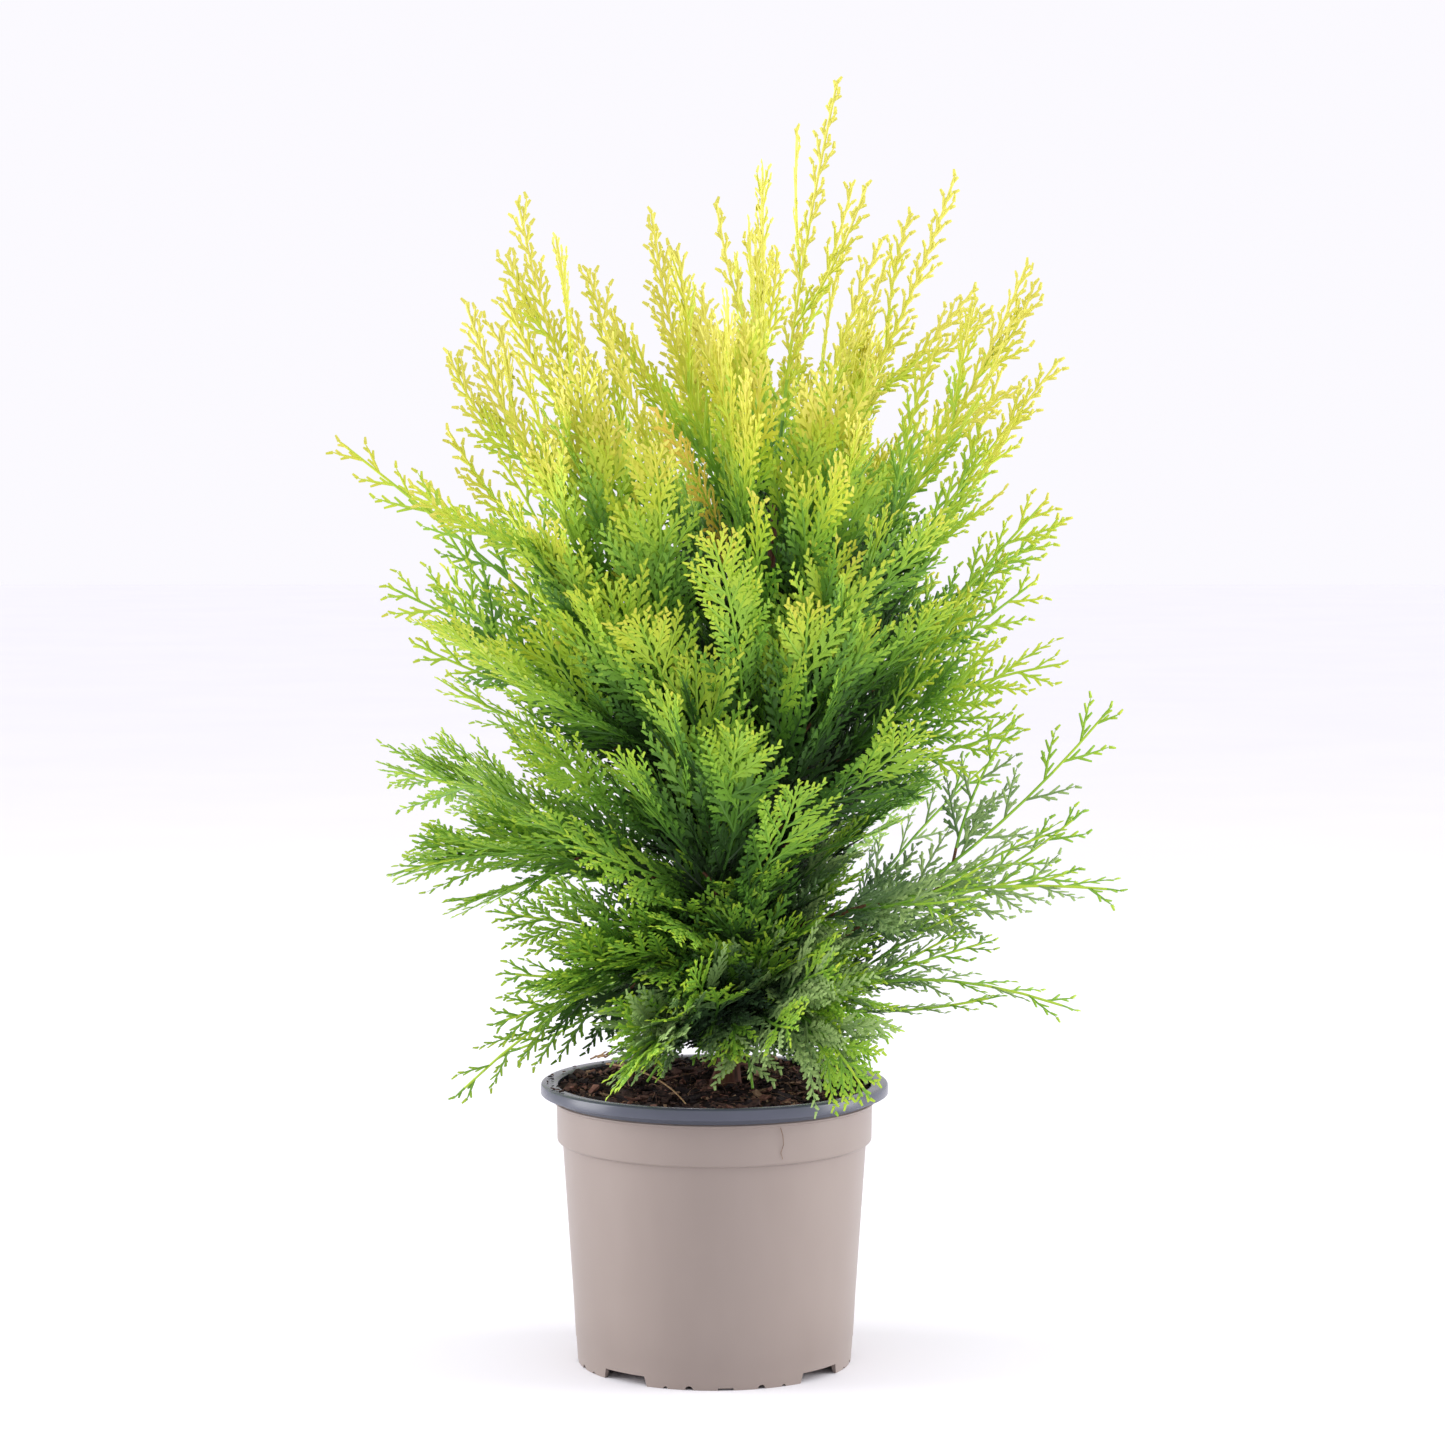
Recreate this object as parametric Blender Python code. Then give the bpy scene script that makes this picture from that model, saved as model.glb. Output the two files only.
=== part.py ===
"""Young golden-tipped Lawson cypress standing in a round nursery pot.

Metres, +Z up, front towards -Y. The origin is on the pot's axis, at the level it stands on.
The trunk carries ascending boughs. Each bough ends in a mass of flat foliage: a stem, side
plumes that branch from it by a seeded rule, and toothed sprays set alternately along both.
"""

import math
import random

import bmesh
import bpy
from mathutils import Matrix, Vector
from mathutils.bvhtree import BVHTree

SEED = 4185
GAP = 0.0003
UP = Vector((0.0, 0.0, 1.0))

# Pot: outer radii and heights of a turned 19 cm nursery pot
POT_SIDES = 30
POT_WALL = 0.0013
FOOT_R = 0.0750
SHOULDER_R = 0.0831
SHOULDER_Z = 0.1210
COLLAR_R = 0.0863
COLLAR_FOOT_Z = 0.1225
COLLAR_Z = 0.1430
NECK_R = 0.0868
FLANGE_R = 0.0950
FLANGE_Z = 0.1540
FLANGE_THICK = 0.0015
LIP_Z = 0.1480
LIP_THICK = 0.0012
PAD_R = 0.0460
CHANNEL_IN_R = 0.0500
CHANNEL_OUT_R = 0.0715
CHANNEL_Z = 0.0060

# Drain cuts in the foot of the pot, by angle round the axis from the front
FOOT_TURN = math.radians(4.7)
QUADRANTS = 4
ARCH_HALF_ANGLE = math.radians(12.0)
ARCH_HEIGHT = 0.0055
NOTCH_R = 0.0022
NOTCH_ANGLE = math.radians(15.0)

# Growing medium: a plug that fills the pot, with a low uneven heap
SOIL_SIDES = POT_SIDES
SOIL_Z = 0.1500
SOIL_RINGS = (0.036, 0.063)
SOIL_HEAP = 0.0030
SOIL_ROUGH = 0.0020
SOIL_EDGE_Z = 0.1500

# Trunk: leans a little to the right, flares at the soil
TRUNK_SIDES = 10
TRUNK_X = 0.0060
TRUNK_LEAN = 0.088
TRUNK_TOP_Z = 0.470
TRUNK_WAVE = 0.0012
TRUNK_R = 0.0056
TRUNK_TIP_R = 0.0015
FLARE_R = 0.0044
FLARE_HEIGHT = 0.011

# Boughs and foliage stems
BOUGH_SIDES = 5
BOUGH_ROOT_R = 0.0026
BOUGH_TIP_R = 0.0015
BOUGH_SHARE = 0.20
BOUGH_RINGS = 4
STEM_SIDES = 3
STEM_R = 0.0017
STEM_TIP_R = 0.0010
SIDE_STEM_R = 0.0014
STEM_RINGS = 4

# Sprays: flat toothed blades, each standing for one fern-like branchlet
SPRAY_ANGLE = math.radians(40.0)
SPRAY_MIN = 0.022
SPRAY_WIDTH_ADD = 0.0040
TERMINAL_WIDTH = 0.26
SPRAY_THICK = 0.024
ROOT_SINK = 0.30
LONG_SPRAY = 0.083
SPRAY_TILT = math.radians(22.0)
TERMINAL_ROOT = 0.74
STEM_END = 0.84
FIRST_SPRAY = 0.07
LAST_SPRAY = 0.72
CLEAR = 0.0005
TRIES = 7

# Side plumes, as shares of the stem they leave
SIDE_PLACES = (0.05, 0.22, 0.42)
SIDE_SHARE = 0.66
SIDE_ANGLE = math.radians(38.0)
SIDE_LIFT = math.radians(50.0)
SIDE_SPRAYS = 1

# Tiers of masses round the trunk, from the pot's rim up to the leaders.
# count, first azimuth, height of root and tip, reach from the trunk, angle of departure,
# roll of the flat sprays, whether a bough carries the mass, then the length of its long
# sprays, their width as a share of that, how many leave the stem, and the side plumes
TIERS = {
    "skirt": dict(count=6, first=5, root=(0.172, 0.196), tip=(0.172, 0.205), reach=0.172,
                  leave=42, roll=30, bough=False, colour=(70, 128, 74),
                  spray=0.064, wide=0.38, sprays=4, sides=2),
    "hanging": dict(count=6, first=244, root=(0.202, 0.236), tip=(0.168, 0.184), reach=0.094,
                    leave=4, roll=14, bough=False, colour=(64, 120, 60),
                    spray=0.064, wide=0.40, sprays=3, sides=1),
    "low": dict(count=7, first=0, root=(0.204, 0.240), tip=(0.272, 0.325), reach=0.180,
                leave=50, roll=35, bough=True, colour=(82, 150, 62),
                spray=0.076, wide=0.37, sprays=5, sides=3),
    "middle": dict(count=7, first=25, root=(0.246, 0.290), tip=(0.370, 0.425), reach=0.165,
                   leave=60, roll=35, bough=True, colour=(98, 166, 44),
                   spray=0.080, wide=0.37, sprays=5, sides=3),
    "upper": dict(count=6, first=0, root=(0.286, 0.332), tip=(0.480, 0.520), reach=0.146,
                  leave=50, roll=45, bough=False, colour=(138, 188, 42),
                  spray=0.078, wide=0.36, sprays=5, sides=2),
    "high": dict(count=7, first=10, root=(0.342, 0.400), tip=(0.570, 0.612), reach=0.125,
                 leave=44, roll=60, bough=False, colour=(178, 204, 48),
                 spray=0.068, wide=0.33, sprays=4, sides=2),
    "leader": dict(count=4, first=350, root=(0.410, 0.462), tip=(0.622, 0.694), reach=0.062,
                   leave=58, roll=85, bough=False, colour=(208, 212, 70),
                   spray=0.054, wide=0.26, sprays=4, sides=1),
}

# Plumes that stand out of the even crown: azimuth, reach and height of the tip, and roll
ACCENTS = {
    "skirt.0": dict(azimuth=-4, reach=0.184, tip=0.196, roll=25),
    "skirt.1": dict(azimuth=68, reach=0.150),
    "skirt.2": dict(azimuth=124, reach=0.150),
    "skirt.3": dict(azimuth=183, reach=0.150, tip=0.148, leave=58, roll=60),
    "skirt.4": dict(azimuth=243, reach=0.120, tip=0.172, roll=40),
    "skirt.5": dict(azimuth=305, reach=0.120, tip=0.164, leave=40, roll=62, spray=0.080),
    "hanging.0": dict(azimuth=229, root=0.236, reach=0.074, tip=0.176, leave=14, roll=8),
    "hanging.1": dict(azimuth=273, root=0.180, reach=0.050, tip=0.262, leave=44, roll=4),
    "hanging.2": dict(azimuth=322, root=0.206, reach=0.096, tip=0.190, leave=20),
    "hanging.3": dict(azimuth=84, root=0.210),
    "hanging.4": dict(azimuth=262, root=0.206, reach=0.046, tip=0.172, leave=20, roll=16),
    "hanging.5": dict(azimuth=212, root=0.214, reach=0.122, tip=0.214, leave=20, roll=30),
    "low.0": dict(azimuth=8, reach=0.206, tip=0.354, leave=22, roll=70),
    "low.3": dict(azimuth=160, reach=0.208, tip=0.318, roll=40),
    "low.4": dict(azimuth=200, reach=0.192, tip=0.276, roll=30),
    "low.5": dict(azimuth=256, reach=0.092, tip=0.392, leave=42, roll=6),
    "low.6": dict(azimuth=-26, reach=0.216, tip=0.270, leave=26, roll=35),
    "middle.0": dict(azimuth=18, reach=0.170, tip=0.424, roll=75),
    "middle.3": dict(azimuth=182, reach=0.190, tip=0.424, roll=60),
    "middle.4": dict(azimuth=220, reach=0.138, tip=0.458, leave=42, roll=10),
    "middle.5": dict(azimuth=297, reach=0.106, tip=0.448, leave=46, roll=-10),
    "middle.6": dict(azimuth=-24, reach=0.178, tip=0.386, roll=60),
    "upper.0": dict(azimuth=2, reach=0.162, tip=0.470, roll=80),
    "upper.2": dict(azimuth=103, root=0.308),
    "upper.3": dict(azimuth=178, reach=0.222, tip=0.502, leave=44, roll=80),
    "upper.4": dict(azimuth=226, reach=0.124, tip=0.548, leave=40, roll=14),
    "upper.5": dict(azimuth=294, reach=0.102, tip=0.536, leave=44, roll=-10),
    "high.0": dict(azimuth=6, reach=0.164, tip=0.546, leave=50, roll=80),
    "high.3": dict(azimuth=170, reach=0.164, tip=0.578, leave=30, roll=80),
    "high.4": dict(azimuth=210, reach=0.150, tip=0.628, leave=34, roll=75),
    "high.6": dict(azimuth=-30, reach=0.156, tip=0.594, leave=42, roll=70),
    "leader.0": dict(azimuth=-16, reach=0.034, tip=0.694, roll=85),
    "leader.1": dict(azimuth=18, reach=0.104, tip=0.646, leave=52, roll=80),
    "leader.2": dict(azimuth=95, reach=0.052, tip=0.652, roll=60),
    "leader.3": dict(azimuth=205, reach=0.070, tip=0.622, roll=70),
}


def clear_scene():
    for obj in list(bpy.data.objects):
        bpy.data.objects.remove(obj, do_unlink=True)


def linear(value):
    share = value / 255.0
    if share <= 0.04045:
        return share / 12.92
    return ((share + 0.055) / 1.055) ** 2.4


def make_material(name, colour, roughness):
    material = bpy.data.materials.new(name)
    material.use_nodes = True
    shader = material.node_tree.nodes["Principled BSDF"]
    shader.inputs["Base Color"].default_value = (*[linear(c) for c in colour], 1.0)
    shader.inputs["Roughness"].default_value = roughness
    shader.inputs["Metallic"].default_value = 0.0
    return material


def make_object(name, verts, faces, material=None, smooth=False):
    mesh = bpy.data.meshes.new(name)
    mesh.from_pydata([tuple(v) for v in verts], [], faces)
    mesh.update()
    if smooth:
        mesh.shade_smooth()
        mesh.set_sharp_from_angle(angle=math.radians(35.0))
    if material:
        mesh.materials.append(material)
    obj = bpy.data.objects.new(name, mesh)
    bpy.context.scene.collection.objects.link(obj)
    return obj


def apply_modifiers(obj):
    graph = bpy.context.evaluated_depsgraph_get()
    mesh = bpy.data.meshes.new_from_object(obj.evaluated_get(graph))
    obj.modifiers.clear()
    obj.data = mesh


def combine(obj, tools, operation, solver):
    """One Boolean of an object with a collection of others, which are then removed."""
    group = bpy.data.collections.new(obj.name + "_tools")
    bpy.context.scene.collection.children.link(group)
    for tool in tools:
        bpy.context.scene.collection.objects.unlink(tool)
        group.objects.link(tool)
        tool.hide_render = True
        tool.display_type = "WIRE"
    boolean = obj.modifiers.new("join", "BOOLEAN")
    boolean.operation = operation
    boolean.operand_type = "COLLECTION"
    boolean.collection = group
    boolean.solver = solver
    apply_modifiers(obj)
    for tool in tools:
        bpy.data.objects.remove(tool, do_unlink=True)
    bpy.data.collections.remove(group)


# Pot


def pot_profile():
    """Closed section of the pot, from its middle underneath, round the outside, to the inside."""
    wall = POT_WALL
    floor = CHANNEL_Z + wall
    outside = [
        (PAD_R, 0.0),
        (CHANNEL_IN_R, CHANNEL_Z),
        (CHANNEL_OUT_R, CHANNEL_Z),
        (FOOT_R - 1.4 * wall, 0.0),
        (FOOT_R, 0.0),
        (SHOULDER_R, SHOULDER_Z),
        (COLLAR_R - 0.0004, COLLAR_FOOT_Z),
        (COLLAR_R, COLLAR_Z),
        (NECK_R + 0.0008, COLLAR_Z + 0.0008),
        (NECK_R + 0.0004, FLANGE_Z - FLANGE_THICK),
        (FLANGE_R - LIP_THICK, FLANGE_Z - FLANGE_THICK - 0.0002),
        (FLANGE_R - LIP_THICK, LIP_Z),
        (FLANGE_R, LIP_Z),
        (FLANGE_R, FLANGE_Z - 0.0008),
        (FLANGE_R - 0.0014, FLANGE_Z),
    ]
    inside = [
        (NECK_R - wall, FLANGE_Z - 0.0010),
        (COLLAR_R - wall, COLLAR_FOOT_Z),
        (SHOULDER_R - wall, SHOULDER_Z),
        (FOOT_R + 0.0007 - wall, floor),
        (CHANNEL_IN_R - 0.0008, floor),
        (PAD_R - 0.0008, wall),
    ]
    return outside + inside


def turned(profile, sides, bottom, top):
    """Closed solid turned round the Z axis, with a middle point on its underside and top."""
    verts = []
    for k in range(sides):
        angle = 2.0 * math.pi * k / sides
        for radius, height in profile:
            verts.append((radius * math.cos(angle), radius * math.sin(angle), height))
    count = len(profile)
    faces = []
    for k in range(sides):
        here = k * count
        there = ((k + 1) % sides) * count
        for i in range(count - 1):
            faces.append((here + i, there + i, there + i + 1, here + i + 1))
    low = len(verts)
    verts.append((0.0, 0.0, bottom))
    verts.append((0.0, 0.0, top))
    for k in range(sides):
        here = k * count
        there = ((k + 1) % sides) * count
        faces.append((low, there, here))
        faces.append((low + 1, here + count - 1, there + count - 1))
    return verts, faces


def around_foot(angle):
    """Frame on the pot's foot, at an angle round the axis from the front."""
    turn = Matrix.Rotation(angle - math.pi / 2.0, 4, "Z")
    return turn @ Matrix.Translation((FOOT_R - 0.001, 0.0, 0.0))


def arch_cutter(angle):
    half = FOOT_R * math.sin(ARCH_HALF_ANGLE)
    slope = 0.0018
    depth = 0.0045
    verts = []
    for x in (-depth, depth):
        verts += [
            (x, -half, -0.002),
            (x, half, -0.002),
            (x, half - slope, ARCH_HEIGHT),
            (x, slope - half, ARCH_HEIGHT),
        ]
    faces = [(3, 2, 1, 0), (4, 5, 6, 7), (0, 1, 5, 4), (1, 2, 6, 5), (2, 3, 7, 6), (3, 0, 4, 7)]
    frame = around_foot(angle)
    return make_object("arch", [frame @ Vector(v) for v in verts], faces)


def notch_cutter(angle):
    sides = 6
    depth = 0.0045
    verts = []
    for x in (-depth, depth):
        for k in range(sides):
            turn = 2.0 * math.pi * (k + 0.5) / sides
            verts.append((x, NOTCH_R * math.cos(turn), NOTCH_R * math.sin(turn)))
    faces = [tuple(reversed(range(sides))), tuple(range(sides, 2 * sides))]
    for k in range(sides):
        after = (k + 1) % sides
        faces.append((k, after, sides + after, sides + k))
    frame = around_foot(angle)
    return make_object("notch", [frame @ Vector(v) for v in verts], faces)


def make_pot():
    verts, faces = turned(pot_profile(), POT_SIDES, 0.0, POT_WALL)
    material = make_material("pot_taupe", (172, 158, 154), 0.5)
    pot = make_object("pot", verts, faces, material, smooth=True)
    cutters = []
    for k in range(QUADRANTS):
        middle = FOOT_TURN + 2.0 * math.pi * k / QUADRANTS
        cutters.append(arch_cutter(middle + math.pi / QUADRANTS))
        cutters.append(notch_cutter(middle - NOTCH_ANGLE))
        cutters.append(notch_cutter(middle + NOTCH_ANGLE))
    combine(pot, cutters, "DIFFERENCE", "EXACT")
    pot.data.set_sharp_from_angle(angle=math.radians(35.0))
    return pot


# Growing medium


def soil_height(radius, angle, rule):
    """Uneven heap, lowest at the wall, level under the trunk."""
    heap = SOIL_HEAP * math.cos(0.5 * math.pi * min(1.0, radius / SOIL_RINGS[-1]))
    back = 0.0016 * math.sin(angle) * radius / SOIL_RINGS[-1]
    return SOIL_Z + heap + back + rule.uniform(-SOIL_ROUGH, SOIL_ROUGH)


def make_soil():
    """Plug of growing medium, from the pot's floor to the foot of the trunk."""
    rule = random.Random(f"{SEED}-soil")
    patch = FLARE_R + TRUNK_R + 0.004
    clear = POT_WALL + GAP
    wall = [
        (PAD_R - 0.0012, POT_WALL + GAP),
        (CHANNEL_IN_R - 0.0012, CHANNEL_Z + clear),
        (FOOT_R + 0.0007 - clear, CHANNEL_Z + clear),
        (SHOULDER_R - clear, SHOULDER_Z),
        (NECK_R - clear - 0.0005, SOIL_EDGE_Z),
    ]
    verts, faces = turned(wall, SOIL_SIDES, wall[0][1], SOIL_Z)
    count = len(wall)
    faces = [f for f in faces if SOIL_SIDES * count + 1 not in f]
    ring = [k * count + count - 1 for k in range(SOIL_SIDES)]
    middle = Vector((TRUNK_X, 0.0, 0.0))
    for radius in reversed(SOIL_RINGS):
        start = len(verts)
        for k in range(SOIL_SIDES):
            angle = 2.0 * math.pi * k / SOIL_SIDES
            height = soil_height(radius, angle, rule)
            verts.append((radius * math.cos(angle), radius * math.sin(angle), height))
        inner = [start + k for k in range(SOIL_SIDES)]
        faces += [
            (ring[k], ring[(k + 1) % SOIL_SIDES], inner[(k + 1) % SOIL_SIDES], inner[k])
            for k in range(SOIL_SIDES)
        ]
        ring = inner
    start = len(verts)
    for k in range(SOIL_SIDES):
        angle = 2.0 * math.pi * k / SOIL_SIDES
        verts.append(middle + patch * Vector((math.cos(angle), math.sin(angle), 0)) + SOIL_Z * UP)
    inner = [start + k for k in range(SOIL_SIDES)]
    faces += [
        (ring[k], ring[(k + 1) % SOIL_SIDES], inner[(k + 1) % SOIL_SIDES], inner[k])
        for k in range(SOIL_SIDES)
    ]
    faces.append(tuple(inner))
    material = make_material("growing_medium", (46, 36, 34), 0.95)
    return make_object("growing_medium", verts, faces, material)


# Trunk and limbs


def trunk_centre(height):
    rise = height - SOIL_Z
    sway = TRUNK_WAVE * math.sin(rise * 34.0)
    return Vector((TRUNK_X + TRUNK_LEAN * rise + sway, 0.8 * sway, height))


def trunk_radius(height):
    rise = height - SOIL_Z
    share = rise / (TRUNK_TOP_Z - SOIL_Z)
    body = TRUNK_R + (TRUNK_TIP_R - TRUNK_R) * share ** 0.85 if share > 0 else TRUNK_R
    return body + FLARE_R * math.exp(-rise / FLARE_HEIGHT)


def trunk_side(foot, away, tall):
    """How far the trunk's side reaches from its middle at a root that is so tall."""
    levels = [foot.z + tall * share for share in (-1.0, -0.5, 0.0, 0.5, 1.0)]
    return max((trunk_centre(z) - foot).dot(away) + trunk_radius(z) for z in levels)


def heading(azimuth):
    turn = math.radians(azimuth)
    return Vector((math.cos(turn), math.sin(turn), 0.0))


def tube(points, radii, sides, reference, seat=None, pointed=False):
    """Tapering limb. Its first end can be cut on a plane with normal seat, its last pointed."""
    verts = []
    last = len(points) - 1
    for i, (point, radius) in enumerate(zip(points, radii)):
        run = (points[min(i + 1, last)] - points[max(i - 1, 0)]).normalized()
        u = (reference - run * reference.dot(run)).normalized()
        v = run.cross(u)
        for k in range(sides):
            angle = 2.0 * math.pi * k / sides
            corner = point + radius * (math.cos(angle) * u + math.sin(angle) * v)
            if i == 0 and seat is not None:
                corner += run * ((point - corner).dot(seat) / run.dot(seat))
            verts.append(corner)
    faces = [tuple(reversed(range(sides)))]
    for i in range(last):
        for k in range(sides):
            after = (k + 1) % sides
            a = i * sides
            b = a + sides
            if pointed and i == last - 1:
                faces.append((a + k, a + after, b))
            else:
                faces.append((a + k, a + after, b + after, b + k))
    if pointed:
        verts[last * sides:] = [points[last]]
    else:
        faces.append(tuple(range(last * sides, (last + 1) * sides)))
    return verts, faces


def make_trunk():
    heights = [SOIL_Z + GAP + rise for rise in (0.0, 0.004, 0.010, 0.022)]
    steps = 9
    top = TRUNK_TOP_Z - heights[-1]
    heights += [heights[-1] + top * (k + 1) / steps for k in range(steps)]
    points = [trunk_centre(h) for h in heights]
    radii = [trunk_radius(h) for h in heights]
    verts, faces = tube(points, radii, TRUNK_SIDES, Vector((1.0, 0.0, 0.0)), seat=UP)
    material = make_material("bark", (112, 74, 58), 0.85)
    return make_object("trunk", verts, faces, material, smooth=True)


def bend(curve, t):
    a, b, c = curve
    return a * (1 - t) ** 2 + b * (2 * t * (1 - t)) + c * t ** 2


def bend_run(curve, t):
    a, b, c = curve
    return ((b - a) * (1 - t) + (c - b) * t).normalized()


def bend_length(curve):
    marks = [bend(curve, k / 12) for k in range(13)]
    return sum((q - p).length for p, q in zip(marks, marks[1:]))


def mass_plan():
    """Sizes of every mass: tier by tier, seeded within each tier, accents last."""
    plans = []
    for tier, sizes in TIERS.items():
        count = sizes["count"]
        for k in range(count):
            rule = random.Random(f"{SEED}-{tier}-{k}")
            step = 360.0 / count
            place = (k * 3 % count + 0.5) / count
            plan = dict(
                name=f"{tier}.{k}",
                tier=tier,
                azimuth=sizes["first"] + step * (k + rule.uniform(-0.12, 0.12)),
                root=sizes["root"][0] + (sizes["root"][1] - sizes["root"][0]) * place,
                tip=rule.uniform(*sizes["tip"]),
                reach=sizes["reach"] * rule.uniform(0.93, 1.04),
                leave=sizes["leave"],
                roll=rule.uniform(-sizes["roll"], sizes["roll"]),
                turn=rule.randrange(2),
            )
            plan.update({key: sizes[key] for key in ("bough", "spray", "wide", "sprays", "sides")})
            plan.update(ACCENTS.get(plan["name"], {}))
            plans.append(plan)
    return plans


def limb_curve(plan):
    """Curve of one limb, from 0.3 mm off the trunk to the tip of its mass."""
    if plan["name"] == "leader.0":
        start = trunk_centre(TRUNK_TOP_Z) + GAP * UP
        rise = plan["tip"] - TRUNK_TOP_Z
        out = heading(plan["azimuth"]) * plan["reach"]
        tip = start + out + UP * (rise - GAP)
        return (start, start + UP * rise * 0.5 + out * 0.25, tip), UP
    away = heading(plan["azimuth"])
    foot = trunk_centre(plan["root"])
    lift = math.radians(plan["leave"])
    tall = (BOUGH_ROOT_R if plan["bough"] else STEM_R) / math.cos(lift)
    start = foot + away * (trunk_side(foot, away, tall) + GAP)
    tip = foot + away * plan["reach"] + UP * (plan["tip"] - plan["root"])
    first = math.cos(lift) * away + math.sin(lift) * UP
    return (start, start + first * 0.5 * (tip - start).length, tip), away


def part_of(curve, low, high, count):
    return [bend(curve, low + (high - low) * k / (count - 1)) for k in range(count)]


def make_bough(plan, curve, seat, material):
    points = part_of(curve, 0.0, BOUGH_SHARE, BOUGH_RINGS)
    last = BOUGH_RINGS - 1
    radii = [BOUGH_ROOT_R + (BOUGH_TIP_R - BOUGH_ROOT_R) * k / last for k in range(BOUGH_RINGS)]
    side = UP.cross(seat).normalized()
    verts, faces = tube(points, radii, BOUGH_SIDES, side, seat=seat)
    name = "bough_" + plan["name"].replace(".", "_")
    return make_object(name, verts, faces, material, smooth=True), (verts, faces)


# Foliage


def spray_shape(root, run, normal, length, width, teeth, sink, extra=0.0, skip=0.0):
    """Toothed blade. Its outline lies in the middle plane, with ridges above and below."""
    side = normal.cross(run).normalized()
    half = 0.5 * width
    thick = 0.5 * SPRAY_THICK * length + extra
    if teeth == 3:
        ridge = (0.06, 0.60)
        edge = ((0.32, 0.76), (0.40, 0.30), (0.60, 1.0), (0.69, 0.30), (0.85, 0.64))
    else:
        ridge = (0.08, 0.62)
        edge = ((0.40, 0.95), (0.52, 0.34), (0.76, 0.80))
    verts = []

    def add(along, across, above):
        verts.append(root + run * along + side * across + normal * above)
        return len(verts) - 1

    foot = add(skip - sink, 0.0, 0.0)
    tops = [add(s * length, 0.0, thick) for s in ridge]
    lows = [add(s * length, 0.0, -thick) for s in ridge]
    tip = add(length + extra, 0.0, 0.0)
    faces = []
    for sign in (1.0, -1.0):
        shift = 0.025 * sign * length
        rim = [add(s * length + shift, sign * (w * half + extra), 0.0) for s, w in edge]
        rim.append(tip)
        for middle, face_sign in ((tops, sign), (lows, -sign)):
            faces.append(order((foot, rim[0], middle[0]), face_sign))
            faces.append(order((rim[0], rim[1], middle[0]), face_sign))
            faces.append(order((middle[0], rim[1], middle[1]), face_sign))
            for a, b in zip(rim[1:], rim[2:]):
                faces.append(order((a, b, middle[1]), face_sign))
    return verts, faces


def order(face, sign):
    return face if sign < 0 else tuple(reversed(face))


def boxed(verts, faces):
    tree = BVHTree.FromPolygons([tuple(v) for v in verts], faces)
    low = [min(v[i] for v in verts) for i in range(3)]
    high = [max(v[i] for v in verts) for i in range(3)]
    return tree, low, high


def touches(candidate, others):
    tree, low, high = candidate
    for other, other_low, other_high in others:
        apart = any(low[i] > other_high[i] or high[i] < other_low[i] for i in range(3))
        if not apart and tree.overlap(other):
            return True
    return False


def spray_length(share, longest):
    """Longest a third of the way along the plume, short at its tip."""
    rise = min(1.0, 0.65 + 1.3 * share)
    fall = min(1.0, 1.28 - 1.00 * share)
    return max(SPRAY_MIN, longest * rise * fall)


def width_axis(run, roll):
    """Axis across a plume: level at no roll, turned about the plume by the roll."""
    level = UP.cross(run)
    if level.length < 0.05:
        level = Vector((1.0, 0.0, 0.0))
    level.normalize()
    return Matrix.Rotation(roll, 3, run) @ level


def side_curve(curve, place, sign, roll, rule):
    """Plume that leaves a stem to one side and bends back along it."""
    start = bend(curve, place)
    run = bend_run(curve, place)
    across = width_axis(run, roll)
    normal = run.cross(across).normalized()
    lift = rule.uniform(-SIDE_LIFT, SIDE_LIFT)
    turn = SIDE_ANGLE * rule.uniform(0.85, 1.15)
    out = (math.cos(lift) * across * sign + math.sin(lift) * normal).normalized()
    first = math.cos(turn) * run + math.sin(turn) * out
    reach = SIDE_SHARE * bend_length(curve) * (1.05 - place) * rule.uniform(0.85, 1.1)
    tip = start + (first + 0.45 * run).normalized() * reach
    return start, start + first * 0.5 * reach, tip


def make_stem(curve, seat, root_r, tip_r, rings, across):
    points = part_of(curve, 0.0, STEM_END, rings)
    last = rings - 1
    radii = [root_r + (tip_r - root_r) * k / last for k in range(rings)]
    reference = bend_run(curve, 0.0).cross(across).normalized()
    return tube(points, radii, STEM_SIDES, reference, seat=seat, pointed=True)


def later_part(curve, start):
    """The same curve from a point on, as a curve of its own."""
    a, b, c = curve
    middle = bend(curve, start)
    return middle, b + (c - b) * start, c


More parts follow.
